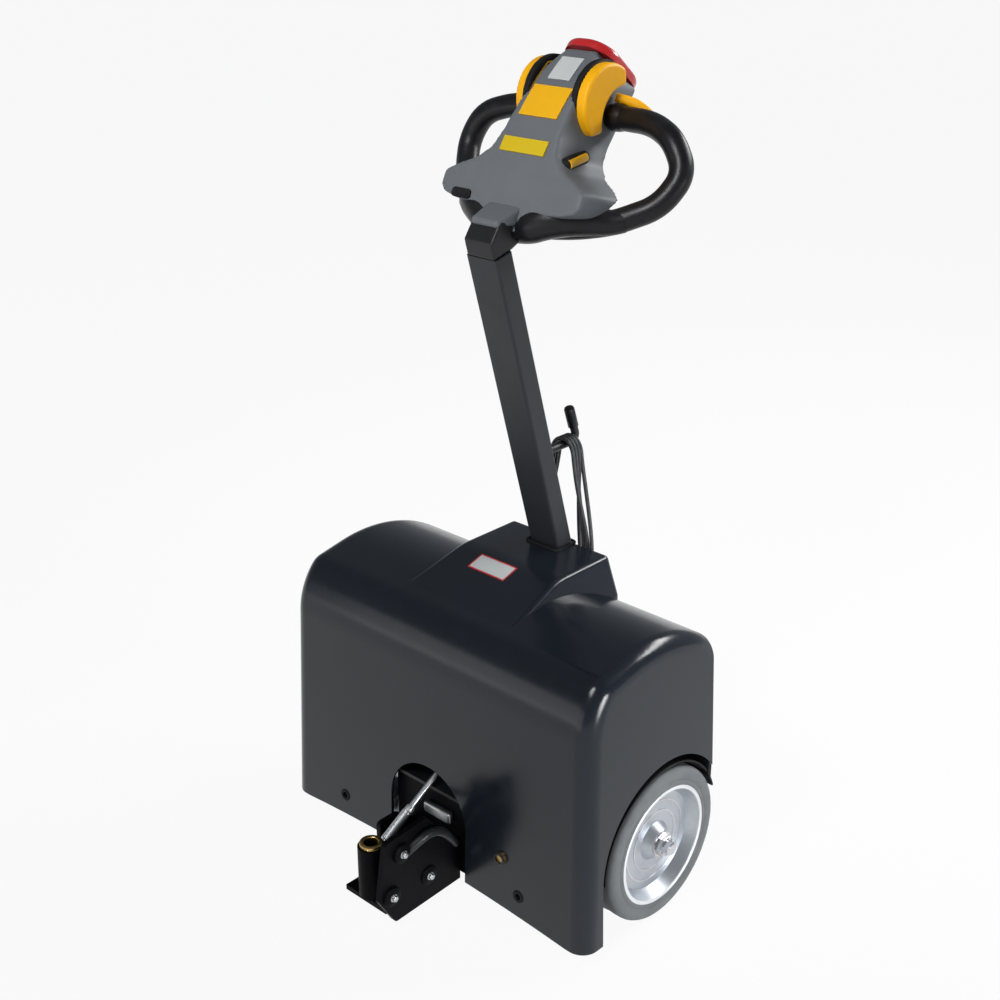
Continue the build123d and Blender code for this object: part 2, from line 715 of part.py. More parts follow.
def build_throttle():
    # bean-shaped lever on the right, its hollow side towards the handle bar
    middle = head_length * throttle_share
    low = middle - throttle_half_length
    high = middle + throttle_half_length
    inner = throttle_end_drop + throttle_nib
    outline = make_face(Curve() + [
        ThreePointArc((low, -throttle_end_drop), (middle, throttle_front), (high, -throttle_end_drop)),
        Line((high, -throttle_end_drop), (high - throttle_nib, -inner)),
        ThreePointArc((high - throttle_nib, -inner), (middle, -throttle_waist), (low + throttle_nib, -inner)),
        Line((low + throttle_nib, -inner), (low, -throttle_end_drop))])
    outline = fillet(outline.vertices(), throttle_round)
    lever = extrude(head_plane(head_half - throttle_sink) * outline, throttle_sink + throttle_width)
    across = lever.faces().sort_by(Axis.X)
    lever = fillet(across[0].edges() + across[-1].edges(), throttle_round - 1)
    return max((lever - nodes["tiller_head"]).solids(), key=lambda s: s.volume)


def hook_form(margin):
    back = arm_foot + arm_along * ((hook_z - arm_foot_z) / arm_along.Z) + arm_back * (arm_depth / 2)
    start = Vector(0, back.Y, hook_z)
    stub = Vector(0, hook_reach_y, hook_z)
    tip = Vector(0, hook_reach_y - hook_lean * hook_rise, hook_z + hook_rise)
    path = FilletPolyline(start - Vector(0, arm_wall, 0), stub, tip, radius=hook_bend)
    hook = sweep(Plane(origin=path @ 0, z_dir=path % 0) * Circle(hook_radius + margin), path=path)
    return hook - arm_prism(0, hook_z - cut_reach, hook_z + cut_reach)


def build_lead():
    # the hank hangs over the hook, its lower half clear behind the hump
    top = hook_z + hook_radius + hank_over
    neck_z = hook_z - hank_neck_drop
    outline = make_face(Polyline((-hank_crest, top), (hank_crest, top), (hank_neck, neck_z),
                                 (hank_half, hank_wide_z), (hank_foot, hank_bottom_z),
                                 (-hank_foot, hank_bottom_z), (-hank_half, hank_wide_z),
                                 (-hank_neck, neck_z), close=True))
    outline = fillet([v for v in outline.vertices() if hank_bottom_z + 1 < v.Y < neck_z - 1], hank_round)
    hank = Pos(0, hank_y + hank_depth, 0) * extrude(Plane.XZ * outline, hank_depth)
    hank -= block(-2 * hank_half, 2 * hank_half, hank_y - cut_margin, hank_low_y, 0, hank_low_z)
    nodes["charge_lead_hank"] = hank - hook_form(hank_gap)
    wall_y = hump_rear + (hump_top_z - gland_z) * draft_slope
    nut_y = wall_y + gland_nut
    exit_y = nut_y + gland_boot
    gland = rod_y(gland_radius, wall_y - 2 * hood_wall, nut_y, gland_x, gland_z)
    gland += Plane(origin=(gland_x, nut_y, gland_z), z_dir=(0, 1, 0)) * Cone(
        gland_boot_radius, gland_boot_end, gland_boot, align=(Align.CENTER, Align.CENTER, Align.MIN))
    nodes["cable_gland"] = gland - hump(0)
    rise = hank_bottom_z - gland_z
    # the lead's free run from the gland up to the hank, as it hangs:
    # share of the way across, share of the way in to the hank, share of the sag, share of the rise
    route = ((0, 0, 0, 0), (0, 0, 0.5, 0), (0.06, 0, 0.9, 0.115), (0.15, 0, 1, 0.28),
             (0.3, 0.05, 0.89, 0.44), (0.5, 0.2, 0.66, 0.58), (0.7, 0.45, 0.38, 0.7),
             (0.87, 0.75, 0.13, 0.8), (0.97, 0.95, 0.03, 0.89), (1, 1, 0, 1))
    points = [Vector(gland_x + (lead_in_x - gland_x) * across,
                     exit_y + (lead_hang_y - exit_y) * inward + lead_sag * sag, gland_z + rise * up)
              for across, inward, sag, up in route]
    nodes["charge_lead"] = bent_tube(points, lead_radius)
    plug_top = hank_bottom_z - tail_length
    nodes["charge_lead_tail"] = rod_z(lead_radius, plug_top, hank_bottom_z, plug_x, lead_hang_y)
    plug = block(plug_x - plug_width / 2, plug_x + plug_width / 2, lead_hang_y - plug_depth / 2,
                 lead_hang_y + plug_depth / 2, plug_top - plug_length, plug_top)
    nodes["charge_plug"] = fillet(plug.edges().filter_by(Axis.Z), plug_depth / 3)


build_frame()
build_drive()
nodes["hood"] = build_hood()
build_arm()
build_head()
wheel = build_wheel()
caster = build_caster()
for name, sign in sides:
    for piece, shape in {**wheel, **caster}.items():
        nodes[f"{piece}_{name}"] = shape if sign > 0 else mirror_x(shape)
    for piece, shape in {"handle_loop": build_loop(), "throttle": build_throttle()}.items():
        nodes[f"{piece}_{name}"] = shape if sign > 0 else mirror_x(shape)
build_hitch()
nodes["cable_hook"] = hook_form(0)
build_lead()

own = [shape for name, shape in nodes.items() if name not in cord_names]
boxes = [shape.bounding_box() for shape in own]
middle_y = (min(b.min.Y for b in boxes) + max(b.max.Y for b in boxes)) / 2
os.makedirs("parts", exist_ok=True)
for name, shape in nodes.items():
    export_step(Pos(0, -middle_y, 0) * shape, f"parts/{name}.step")
print("axle at y =", round(-middle_y, 3), "nodes", len(nodes))
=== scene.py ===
import math
import bmesh
import bpy
from mathutils import Matrix, Vector
from mathutils.bvhtree import BVHTree


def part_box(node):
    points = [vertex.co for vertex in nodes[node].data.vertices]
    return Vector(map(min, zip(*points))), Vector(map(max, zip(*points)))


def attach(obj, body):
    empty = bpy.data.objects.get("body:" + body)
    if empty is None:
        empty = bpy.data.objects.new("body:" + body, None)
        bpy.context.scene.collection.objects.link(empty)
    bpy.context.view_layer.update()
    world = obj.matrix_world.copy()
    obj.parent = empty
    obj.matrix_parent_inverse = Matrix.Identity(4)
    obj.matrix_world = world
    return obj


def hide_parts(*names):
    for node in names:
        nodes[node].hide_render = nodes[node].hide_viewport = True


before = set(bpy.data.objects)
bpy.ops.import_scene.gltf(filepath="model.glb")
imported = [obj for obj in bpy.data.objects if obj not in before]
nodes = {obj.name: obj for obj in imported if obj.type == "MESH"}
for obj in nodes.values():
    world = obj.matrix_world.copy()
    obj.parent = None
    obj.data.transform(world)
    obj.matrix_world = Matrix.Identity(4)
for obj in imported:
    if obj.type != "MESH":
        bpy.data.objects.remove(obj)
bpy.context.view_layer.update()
scene = bpy.context.scene
scene.view_settings.view_transform = "Standard"
sides = (("right", 1), ("left", -1))
wheelLow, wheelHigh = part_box("tyre_right")
axleY = (wheelLow.y + wheelHigh.y) / 2
weld = 2e-6  # metres within which vertices of a new piece are merged
cadWeld = 1e-5  # the same for the loose triangles of a CAD copy


def mm(x, y, z):  # millimetres from the floor under the drive axle
    return Vector((x / 1000, y / 1000 + axleY, z / 1000))


def span(node):  # low and high corner of a CAD node in the same millimetres
    return [Vector((round(c.x * 1000, 3), round((c.y - axleY) * 1000, 3), round(c.z * 1000, 3)))
            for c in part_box(node)]


# camera
viewpoint = {"eye": (1310.2, -1418.7, 1385.8), "azimuth": 43.1, "elevation": 23.4, "lens": 54.22,
             "sensor": 36}


def setCamera(place):
    turn, rise = math.radians(place["azimuth"]), math.radians(place["elevation"])
    away = Vector((math.sin(turn) * math.cos(rise), -math.cos(turn) * math.cos(rise), math.sin(rise)))
    data = bpy.data.cameras.new("photoCamera")
    data.lens = place["lens"]
    data.sensor_width = place["sensor"]
    camera = bpy.data.objects.new("photoCamera", data)
    camera.rotation_mode = "QUATERNION"
    camera.rotation_quaternion = (-away).to_track_quat("-Z", "Y")
    camera.location = mm(*place["eye"])
    scene.collection.objects.link(camera)
    scene.camera = camera


setCamera(viewpoint)
print("camera set")


# shader wires
class Wire:  # a socket that can be added, taken away and multiplied
    def __init__(self, graph, socket):
        self.graph = graph
        self.socket = socket

    def __add__(self, other):
        return self.graph.sums("ADD", self, other)

    def __radd__(self, other):
        return self.graph.sums("ADD", other, self)

    def __sub__(self, other):
        return self.graph.sums("SUBTRACT", self, other)

    def __rsub__(self, other):
        return self.graph.sums("SUBTRACT", other, self)

    def __mul__(self, other):
        return self.graph.sums("MULTIPLY", self, other)

    def __rmul__(self, other):
        return self.graph.sums("MULTIPLY", other, self)


class Graph:  # the node tree of a material or the world
    def __init__(self, owner):
        owner.use_nodes = True
        self.tree = owner.node_tree
        self.tree.nodes.clear()

    def node(self, kind, settings, sockets, out=0):
        made = self.tree.nodes.new(kind)
        for key, value in settings.items():
            if key == "stops":
                ramp = made.color_ramp
                while len(ramp.elements) < len(value):
                    ramp.elements.new(0.5)
                for stop, (at, colour) in zip(ramp.elements, value):
                    stop.position = at
                    stop.color = (*colour, 1)
            else:
                setattr(made, key, value)
        for key, value in sockets.items():
            if isinstance(value, Wire):
                self.tree.links.new(value.socket, made.inputs[key])
            else:
                made.inputs[key].default_value = value
        return Wire(self, made.outputs[out]) if out is not None else None

    def sums(self, operation, a, b):
        return self.node("ShaderNodeMath", {"operation": operation}, {0: a, 1: b})

    def rays(self, *kinds):  # 1 for any of these rays, 0 for the rest
        path = [self.node("ShaderNodeLightPath", {}, {}, kind) for kind in kinds]
        seen = path[0]
        for ray in path[1:]:
            seen = self.sums("MAXIMUM", seen, ray)
        return seen


class Finish(Graph):  # one procedural material
    def __init__(self, name, **constants):
        self.material = bpy.data.materials.new(name)
        super().__init__(self.material)
        self.shader = self.tree.nodes.new("ShaderNodeBsdfPrincipled")
        for socket, value in constants.items():
            self.shader.inputs[socket.replace("_", " ")].default_value = value
        self.node("ShaderNodeOutputMaterial", {}, {"Surface": Wire(self, self.shader.outputs[0])}, None)
        self.place = self.node("ShaderNodeTexCoord", {}, {}, "Object")

    def give(self, socket, wire):
        self.tree.links.new(wire.socket, self.shader.inputs[socket])

    def noise(self, scale, detail, roughness=0.55, at=None):
        return self.node("ShaderNodeTexNoise", {}, {"Vector": at or self.place, "Scale": scale,
                                                    "Detail": detail, "Roughness": roughness}, "Fac")

    def cells(self, scale):
        return self.node("ShaderNodeTexVoronoi", {"feature": "F1"},
                         {"Vector": self.place, "Scale": scale}, "Distance")

    def between(self, wire, low, high, fromLow, fromHigh):
        return self.node("ShaderNodeMapRange", {"clamp": True},
                         {"Value": wire, "From Min": fromLow, "From Max": fromHigh,
                          "To Min": low, "To Max": high})

    def colours(self, factor, a, b):
        return self.node("ShaderNodeMix", {"data_type": "RGBA"},
                         {0: factor, 6: colourOf(a), 7: colourOf(b)}, 2)

    def stretched(self, scale):
        return self.node("ShaderNodeMapping", {}, {"Vector": self.place, "Scale": scale})

    def bump(self, height, strength, distance):
        self.give("Normal", self.node("ShaderNodeBump", {}, {"Height": height, "Strength": strength,
                                                            "Distance": distance}))


def colourOf(value):
    return value if isinstance(value, Wire) else (*value, 1)


def shade(colour, share):
    return tuple(c * share for c in colour)


noiseSpan = (0.3, 0.7)  # where most of a noise's values lie
wear = {"dust": (0.16, 0.15, 0.14), "dustBand": (0.06, 0.30), "steel": (0.30, 0.30, 0.31)}  # band in metres

# moulded plastics: colour and its share in the darker mottling, roughness range, grain per metre and its
# depth in metres, clear coat, floor dust low down, shine
mouldings = {
    "hoodBlack": {"colour": (0.0090, 0.0130, 0.0190), "dark": 0.8, "rough": (0.16, 0.23), "grain": 520,
                  "depth": 0.00004, "coat": 0.0, "dust": 0.02, "shine": 0.34},
    "headGrey": {"colour": (0.128, 0.140, 0.152), "dark": 0.84, "rough": (0.50, 0.62), "grain": 620,
                 "depth": 0.00008, "coat": 0.0, "dust": 0.0, "shine": 0.4},
    "signalYellow": {"colour": (0.83, 0.43, 0.004), "dark": 0.88, "rough": (0.40, 0.52), "grain": 700,
                     "depth": 0.00005, "coat": 0.0, "dust": 0.0, "shine": 0.4},
    "stripYellow": {"colour": (0.62, 0.44, 0.004), "dark": 0.92, "rough": (0.44, 0.56), "grain": 700,
                    "depth": 0.00003, "coat": 0.0, "dust": 0.0, "shine": 0.4},
    "leverGold": {"colour": (0.92, 0.44, 0.001), "dark": 0.86, "rough": (0.40, 0.52), "grain": 700,
                  "depth": 0.00005, "coat": 0.0, "dust": 0.0, "shine": 0.3},
    "signalRed": {"colour": (0.50, 0.012, 0.014), "dark": 0.85, "rough": (0.22, 0.34), "grain": 1000,
                  "depth": 0.00006, "coat": 0.4, "dust": 0.0, "shine": 0.5},
    "platePale": {"colour": (0.56, 0.58, 0.58), "dark": 0.86, "rough": (0.35, 0.5), "grain": 800,
                  "depth": 0.00003, "coat": 0.2, "dust": 0.0, "shine": 0.4},
    "batteryGrey": {"colour": (0.060, 0.062, 0.068), "dark": 0.75, "rough": (0.5, 0.65), "grain": 700,
                    "depth": 0.0002, "coat": 0.0, "dust": 0.06, "shine": 0.4},
    "plugBlack": {"colour": (0.024, 0.024, 0.026), "dark": 0.75, "rough": (0.4, 0.55), "grain": 1600,
                  "depth": 0.0001, "coat": 0.0, "dust": 0.0, "shine": 0.4},
}


def moulded(name, kind):
    finish = Finish(name, IOR=1.5, Coat_Roughness=0.12, Coat_Weight=kind["coat"],
                    Specular_IOR_Level=kind["shine"])
    cloud = finish.noise(scale=7, detail=4)
    fine = finish.noise(scale=60, detail=2)
    grain = finish.cells(kind["grain"])
    mottled = finish.between(cloud * 0.7 + fine * 0.3, 0, 1, *noiseSpan)
    tint = finish.colours(mottled, shade(kind["colour"], kind["dark"]), kind["colour"])
    height = finish.node("ShaderNodeSeparateXYZ", {}, {0: finish.place}, "Z")
    settled = finish.between(height + cloud * 0.12, kind["dust"], 0, *wear["dustBand"])
    finish.give("Base Color", finish.colours(settled, tint, wear["dust"]))
    scuff = finish.noise(scale=24, detail=5, roughness=0.7)
    finish.give("Roughness", finish.between(scuff * 0.6 + fine * 0.4, *kind["rough"], *noiseSpan))
    finish.bump(grain + fine * 0.3, strength=0.35, distance=kind["depth"])
    return finish.material


# painted steel: colour, roughness range, depth of the orange peel, noise above which steel is bare, shine
paints = {
    "frameBlack": {"colour": (0.010, 0.0105, 0.012), "rough": (0.36, 0.52), "peel": 0.00006,
                   "chips": 0.82, "shine": 0.35},
    "armCharcoal": {"colour": (0.021, 0.023, 0.027), "rough": (0.40, 0.52), "peel": 0.00005,
                    "chips": 0.86, "shine": 0.3},
    "knuckleBlack": {"colour": (0.010, 0.010, 0.012), "rough": (0.34, 0.48), "peel": 0.00005,
                     "chips": 0.86, "shine": 0.3},
    "hitchBlack": {"colour": (0.0035, 0.0035, 0.0045), "rough": (0.34, 0.50), "peel": 0.00006,
                   "chips": 0.80, "shine": 0.04},
}


def painted(name, kind):
    finish = Finish(name, IOR=1.5, Specular_IOR_Level=kind["shine"])
    cloud = finish.noise(scale=9, detail=4)
    peel = finish.noise(scale=420, detail=2)
    chip = finish.noise(scale=85, detail=6, roughness=0.72)
    bare = finish.between(chip + cloud * 0.12, 0, 1, kind["chips"], kind["chips"] + 0.02)
    tint = finish.colours(cloud, shade(kind["colour"], 0.75), shade(kind["colour"], 1.2))
    finish.give("Base Color", finish.colours(bare, tint, wear["steel"]))
    finish.give("Metallic", bare * 0.9)
    rubbed = finish.noise(scale=30, detail=5, roughness=0.7)
    finish.give("Roughness", finish.between(rubbed, *kind["rough"], *noiseSpan))
    finish.bump(peel - bare * 0.6, strength=0.4, distance=kind["peel"])
    return finish.material


# bare metals: colour, roughness range, stretch of the brushing, how dull the stains are
metals = {
    "brightSteel": {"colour": (0.66, 0.66, 0.68), "rough": (0.18, 0.34), "stretch": (40, 900, 900),
                    "stain": 0.6},
    "rimSilver": {"colour": (0.50, 0.53, 0.57), "rough": (0.34, 0.48), "stretch": (220, 220, 220),
                  "stain": 0.75},
    # paler than the rim's silver: the lip ring is real, and its lighter colour also paints the ring's bright
    # highlight
    "beadSilver": {"colour": (0.80, 0.82, 0.84), "rough": (0.40, 0.52), "stretch": (220, 220, 220),
                   "stain": 0.85},
    "brassWorn": {"colour": (0.62, 0.43, 0.16), "rough": (0.22, 0.42), "stretch": (120, 120, 900),
                  "stain": 0.5},
    "castGrey": {"colour": (0.22, 0.22, 0.23), "rough": (0.5, 0.7), "stretch": (160, 160, 160),
                 "stain": 0.6},
    "zincPlate": {"colour": (0.52, 0.53, 0.55), "rough": (0.28, 0.46), "stretch": (180, 180, 180),
                  "stain": 0.7},
}


def bareMetal(name, kind):
    finish = Finish(name, Metallic=1)
    lay = finish.noise(scale=1, detail=4, roughness=0.6, at=finish.stretched(kind["stretch"]))
    cloud = finish.noise(scale=18, detail=5, roughness=0.65)
    stain = finish.between(cloud, 0, 1, 0.42, 0.72)
    dull = shade(kind["colour"], kind["stain"])
    finish.give("Base Color", finish.colours(stain * 0.6 + lay * 0.25, kind["colour"], dull))
    finish.give("Roughness", finish.between(lay * 0.5 + cloud * 0.5, *kind["rough"], *noiseSpan))
    finish.bump(lay, strength=0.3, distance=0.00008)
    return finish.material


# rubbers: colour, roughness range, bloom colour, grain per metre, shine
rubbers = {
    "gripBlack": {"colour": (0.006, 0.006, 0.007), "rough": (0.30, 0.42), "bloom": (0.014, 0.014, 0.016),
                  "grain": 1500, "shine": 0.25},
    "tyreGrey": {"colour": (0.122, 0.132, 0.139), "rough": (0.62, 0.80), "bloom": (0.168, 0.177, 0.181),
                 "grain": 600, "shine": 0.4},
    "leadSheath": {"colour": (0.022, 0.022, 0.025), "rough": (0.40, 0.56), "bloom": (0.06, 0.06, 0.062),
                   "grain": 1300, "shine": 0.5},
    "gasketBlack": {"colour": (0.005, 0.005, 0.006), "rough": (0.6, 0.75), "bloom": (0.012, 0.012, 0.012),
                    "grain": 1200, "shine": 0.2},
}


def rubber(name, kind):
    finish = Finish(name, IOR=1.48, Specular_IOR_Level=kind["shine"])
    cloud = finish.noise(scale=14, detail=5, roughness=0.65)
    grain = finish.cells(kind["grain"])
    bloomed = finish.between(cloud, 0, 1, 0.4, 0.75)
    finish.give("Base Color", finish.colours(bloomed, kind["colour"], kind["bloom"]))
    handled = finish.noise(scale=40, detail=4)
    finish.give("Roughness", finish.between(handled, *kind["rough"], *noiseSpan))
    finish.bump(grain + finish.noise(scale=300, detail=2) * 0.5, strength=0.3, distance=0.0001)
    return finish.material


finishes = {}
for table, make in ((mouldings, moulded), (paints, painted), (metals, bareMetal), (rubbers, rubber)):
    for name, kind in table.items():
        finishes[name] = make(name, kind)
print("finishes", len(finishes))

# which finish each CAD node takes, by the start of its name
nodeFinishes = (
    ("hood", "hoodBlack"), ("front_fitting", "brassWorn"), ("hitch_collar", "brassWorn"),
    ("hitch_release_rod", "zincPlate"), ("hitch", "hitchBlack"), ("tiller_arm", "armCharcoal"),
    ("tiller_knuckle", "knuckleBlack"), ("tiller_head", "headGrey"), ("battery", "batteryGrey"),
    ("drive_axle", "castGrey"), ("tyre", "tyreGrey"), ("rim", "rimSilver"), ("axle_shaft", "brightSteel"),
    ("caster_mount", "zincPlate"), ("caster_fork", "zincPlate"), ("caster_tyre", "tyreGrey"),
    ("caster_hub", "rimSilver"), ("handle_loop", "gripBlack"), ("throttle", "leverGold"),
    ("belly", "signalRed"), ("head_panel", "signalYellow"), ("head_strip", "stripYellow"),
    ("head_plate", "platePale"), ("side_button", "signalYellow"), ("cable_gland", "plugBlack"),
    ("charge_plug", "plugBlack"), ("charge", "leadSheath"), ("", "frameBlack"),
)
for nodeName, node in nodes.items():
    kind = next(finish for start, finish in nodeFinishes if nodeName.startswith(start))
    node.data.materials.clear()
    node.data.materials.append(finishes[kind])


# mesh helpers
def settle(name, bm, finish, body="chassis", replaced=(), sharp=32, recalc=True):
    if recalc:
        bmesh.ops.remove_doubles(bm, verts=bm.verts, dist=weld)
        bmesh.ops.recalc_face_normals(bm, faces=bm.faces)
    mesh = bpy.data.meshes.new(name)
    bm.to_mesh(mesh)
    bm.free()
    mesh.materials.append(finishes[finish])
    mesh.shade_smooth()
    mesh.set_sharp_from_angle(angle=math.radians(sharp))
    piece = bpy.data.objects.new(name, mesh)
    scene.collection.objects.link(piece)
    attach(piece, body)
    if replaced:
        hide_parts(*replaced)
    return piece


def facing(place, along, spin=0.0):  # turns +Z to a direction and moves to a place
    turn = Vector(along).to_track_quat("Z", "Y").to_matrix().to_4x4()
    return Matrix.Translation(place) @ turn @ Matrix.Rotation(math.radians(spin), 4, "Z")


def join(bm, part, matrix=None):  # adds a finished part to a piece
    if matrix is not None:
        part.transform(matrix)
    mesh = bpy.data.meshes.new("part")
    part.to_mesh(mesh)
    part.free()
    bm.from_mesh(mesh)
    bpy.data.meshes.remove(mesh)


def turned(bm, profile, place, along, steps, closed=False):  # spins (radius, height) pairs in mm about a line
    part = bmesh.new()
    made = [part.verts.new((r / 1000, 0, h / 1000)) for r, h in profile]
    lines = [part.edges.new(pair) for pair in zip(made, made[1:])]
    if closed:
        lines.append(part.edges.new((made[-1], made[0])))
    bmesh.ops.spin(part, geom=made + lines, cent=(0, 0, 0), axis=(0, 0, 1), angle=2 * math.pi, steps=steps,
                   use_merge=True, use_duplicate=False)
    bmesh.ops.remove_doubles(part, verts=part.verts, dist=weld)
    bmesh.ops.recalc_face_normals(part, faces=part.faces)
    join(bm, part, facing(place, along))


def turnedPiece(name, finish, kind, closed=True, replaced=()):  # one profile at each of its places
    bm = bmesh.new()
    for place in kind["places"]:
        turned(bm, kind["profile"], mm(*place), kind["along"], kind["steps"], closed)
    return settle(name, bm, finish, replaced=replaced)


def mirrored(side):  # a profile's one half and its image
    return list(side) + [(r, -h) for r, h in reversed(side)]


bolt = {"washer": 1.5, "washerEdge": 0.5, "headEdge": 0.8, "steps": 24}


def hexBolt(bm, place, along, flats, head, washer, spin=0.0):  # across flats, head height, washer radius
    rise, edge = bolt["washer"], bolt["washerEdge"]
    turned(bm, ((0, 0), (washer, 0), (washer, rise - edge), (washer - edge, rise), (0, rise)), place, along,
           bolt["steps"])
    part = bmesh.new()
    corner = flats / math.sqrt(3) / 1000
    bmesh.ops.create_cone(part, cap_ends=True, segments=6, radius1=corner, radius2=corner, depth=head / 1000)
    bmesh.ops.translate(part, verts=part.verts, vec=(0, 0, (head / 2 + rise) / 1000))
    rim = [e for e in part.edges if all(v.co.z > head / 1000 for v in e.verts)]
    bmesh.ops.bevel(part, geom=rim, affect="EDGES", offset=bolt["headEdge"] / 1000, segments=2, profile=0.5,
                    material=-1)
    join(bm, part, facing(place, along, spin))


# shares of the head's radius and height, depth of the socket
screw = {"socket": 0.45, "deep": 1.3, "crown": 0.7, "drop": 0.1, "shoulder": (0.93, 0.6), "steps": 18}


def panScrew(bm, place, along, radius, rise):  # domed head with a round socket sunk in it
    socket, floor = radius * screw["socket"], rise - screw["deep"]
    wide, high = screw["shoulder"]
    turned(bm, ((0, floor), (socket, floor), (socket, rise), (radius * screw["crown"], rise - screw["drop"]),
                (radius * wide, rise * high), (radius, 0), (0, 0)), place, along, screw["steps"])


def roundedBlock(bm, x0, x1, y0, y1, z0, z1, edge, segments=3):
    part = bmesh.new()
    bmesh.ops.create_cube(part, size=1)
    bmesh.ops.scale(part, verts=part.verts, vec=((x1 - x0) / 1000, (y1 - y0) / 1000, (z1 - z0) / 1000))
    bmesh.ops.translate(part, verts=part.verts, vec=mm((x0 + x1) / 2, (y0 + y1) / 2, (z0 + z1) / 2))
    bmesh.ops.bevel(part, geom=part.edges[:], affect="EDGES", offset=edge / 1000, segments=segments,
                    profile=0.5, material=-1)
    join(bm, part)


# a tube through (x, y, z) in mm, each with or without a share of the radius
def tube(name, points, radius, finish, rounds=6, steps=10):
    data = bpy.data.curves.new(name, "CURVE")
    data.dimensions = "3D"
    data.bevel_depth = radius / 1000
    data.bevel_resolution = rounds
    data.resolution_u = steps
    data.use_fill_caps = True
    run = data.splines.new("NURBS")
    run.points.add(len(points) - 1)
    for point, (x, y, z, *share) in zip(run.points, points):
        point.co = (*mm(x, y, z), 1)
        point.radius = share[0] if share else 1
    run.order_u = 3
    run.use_endpoint_u = True
    data.materials.append(finishes[finish])
    piece = bpy.data.objects.new(name, data)
    scene.collection.objects.link(piece)
    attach(piece, "chassis")
    return piece


# charging lead: out of its gland, up to the hook and round it in a loose hank, then down to its plug
lead = {
    "radius": 3.0, "length": 2.30, "hookTop": 610.4, "hookHalf": 8,
    "freeRun": ((44, 153.79, 208), (44, 177.79, 208), (43.04, 196.99, 227.78), (41.6, 201.79, 256.16),
                (39.2, 195.27, 283.68), (36, 180.52, 307.76), (32.8, 160.88, 328.4), (30.08, 141.44, 345.6),
                (28.48, 131.68, 361.08), (28, 129, 380)),
    "goingUp": ((27, 128.6, 405), (24, 128, 440), (21.5, 126.6, 490), (21, 125.8, 540), (22, 125.4, 575),
                (19, 125.4, 598)),
    # turns: half-width, lowest point, Y going down, Y along the bottom, Y coming up
    "turns": ((38, 402, 125.4, 121.0, 119.2), (54, 386, 119.2, 120.2, 131.0), (46, 394, 131.0, 121.5, 113.0)),
    # one side of a turn: half-width and height at the neck, share of the spread, height and share of the way
    # across in the flare, shares of the half-width outwards and above the lowest point in the foot
    "neck": ((19, 598), (22, 575)),
    "flare": ((0.25, 540, 0.1), (0.62, 500, 0.5), (0.93, 462, 0.9)),
    "foot": ((1, 0.75), (0.8, 0.22), (0.3, 0)),
    "goingDown": ((-19, 113, 598), (-22, 113, 575), (-21, 115, 540), (-21, 119, 500), (-22, 123, 462),
                  (-25, 127, 425), (-28, 129, 395), (-28, 129, 380), (-28, 129, 334)),
}


def overHook(y):
    return [(lead["hookHalf"], y, lead["hookTop"]), (-lead["hookHalf"], y, lead["hookTop"])]


def hankTurn(half, low, down, along, up):  # down the left, round the bottom and up the right
    neck = lead["neck"][-1][0]
    side = [(x, z, 0) for x, z in lead["neck"]]
    side += [(neck + wide * (half - neck), z, share) for wide, z, share in lead["flare"]]
    side += [(wide * half, low + rise * half, 1) for wide, rise in lead["foot"]]
    falling = [(-x, down + (along - down) * share, z) for x, z, share in side]
    rising = [(x, up + (along - up) * share, z) for x, z, share in reversed(side)]
    return falling + rising


route = [*lead["freeRun"], *lead["goingUp"], *overHook(lead["goingUp"][-1][1])]
for turn in lead["turns"]:
    route += hankTurn(*turn) + overHook(turn[-1])
route += lead["goingDown"]
chargingLead = tube("chargingLead", route, lead["radius"], "leadSheath", rounds=4, steps=8)
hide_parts("charge_lead", "charge_lead_hank", "charge_lead_tail")

# plug: shouldered body and a ribbed bend relief, ribs as (out, up) pairs
plugLow, plugHigh = span("charge_plug")
plug = {"body": 26, "shoulder": 8, "grip": (0.52, 0.8), "edge": 2.8, "ribs": 5, "ribLow": 33.2,
        "ribPitch": 2.1, "ribRadius": 7.2, "ribTaper": 0.75, "rib": ((0, 0), (0.5, 0.6), (0, 1.4)),
        "ribHigh": 1.6, "ribSteps": 20}


def buildPlug(p):
    size = (plugHigh - plugLow) / 1000
    foot = mm((plugLow.x + plugHigh.x) / 2, (plugLow.y + plugHigh.y) / 2, plugLow.z)
    bm = bmesh.new()
    bmesh.ops.create_cube(bm, size=1)
    bmesh.ops.scale(bm, verts=bm.verts, vec=(size.x, size.y, p["body"] / 1000))
    bmesh.ops.translate(bm, verts=bm.verts, vec=(0, 0, p["body"] / 2000))
    top = max(bm.faces, key=lambda f: f.calc_center_median().z)
    grip = bmesh.ops.extrude_discrete_faces(bm, faces=[top])["faces"][0]
    bmesh.ops.translate(bm, verts=grip.verts, vec=(0, 0, p["shoulder"] / 1000))
    bmesh.ops.scale(bm, verts=grip.verts, vec=(*p["grip"], 1))
    bmesh.ops.bevel(bm, geom=bm.edges[:], affect="EDGES", offset=p["edge"] / 1000, segments=3, profile=0.5,
                    material=-1)
    for step in range(p["ribs"]):
        low = p["ribLow"] + step * p["ribPitch"]
        r = p["ribRadius"] - step * p["ribTaper"]
        rib = [(r + out, low + up) for out, up in p["rib"]]
        turned(bm, [(0, low), *rib, (0, low + p["ribHigh"])], (0, 0, 0), (0, 0, 1), p["ribSteps"])
    bmesh.ops.translate(bm, verts=bm.verts, vec=foot)
    return settle("chargePlug", bm, "plugBlack", replaced=("charge_plug",))


plugPiece = buildPlug(plug)
mm(*lead["freeRun"][0])
print("lead laid", len(route))

# tiller head
headBase = {"y": -22.0, "z": 936.0, "tilt": 50.5}


def headPoint(u, w, x):  # along the head's tilt, off its top, across
    lean = math.radians(headBase["tilt"])
    return mm(x, headBase["y"] + u * math.cos(lean) - w * math.sin(lean),
              headBase["z"] + u * math.sin(lean) + w * math.cos(lean))


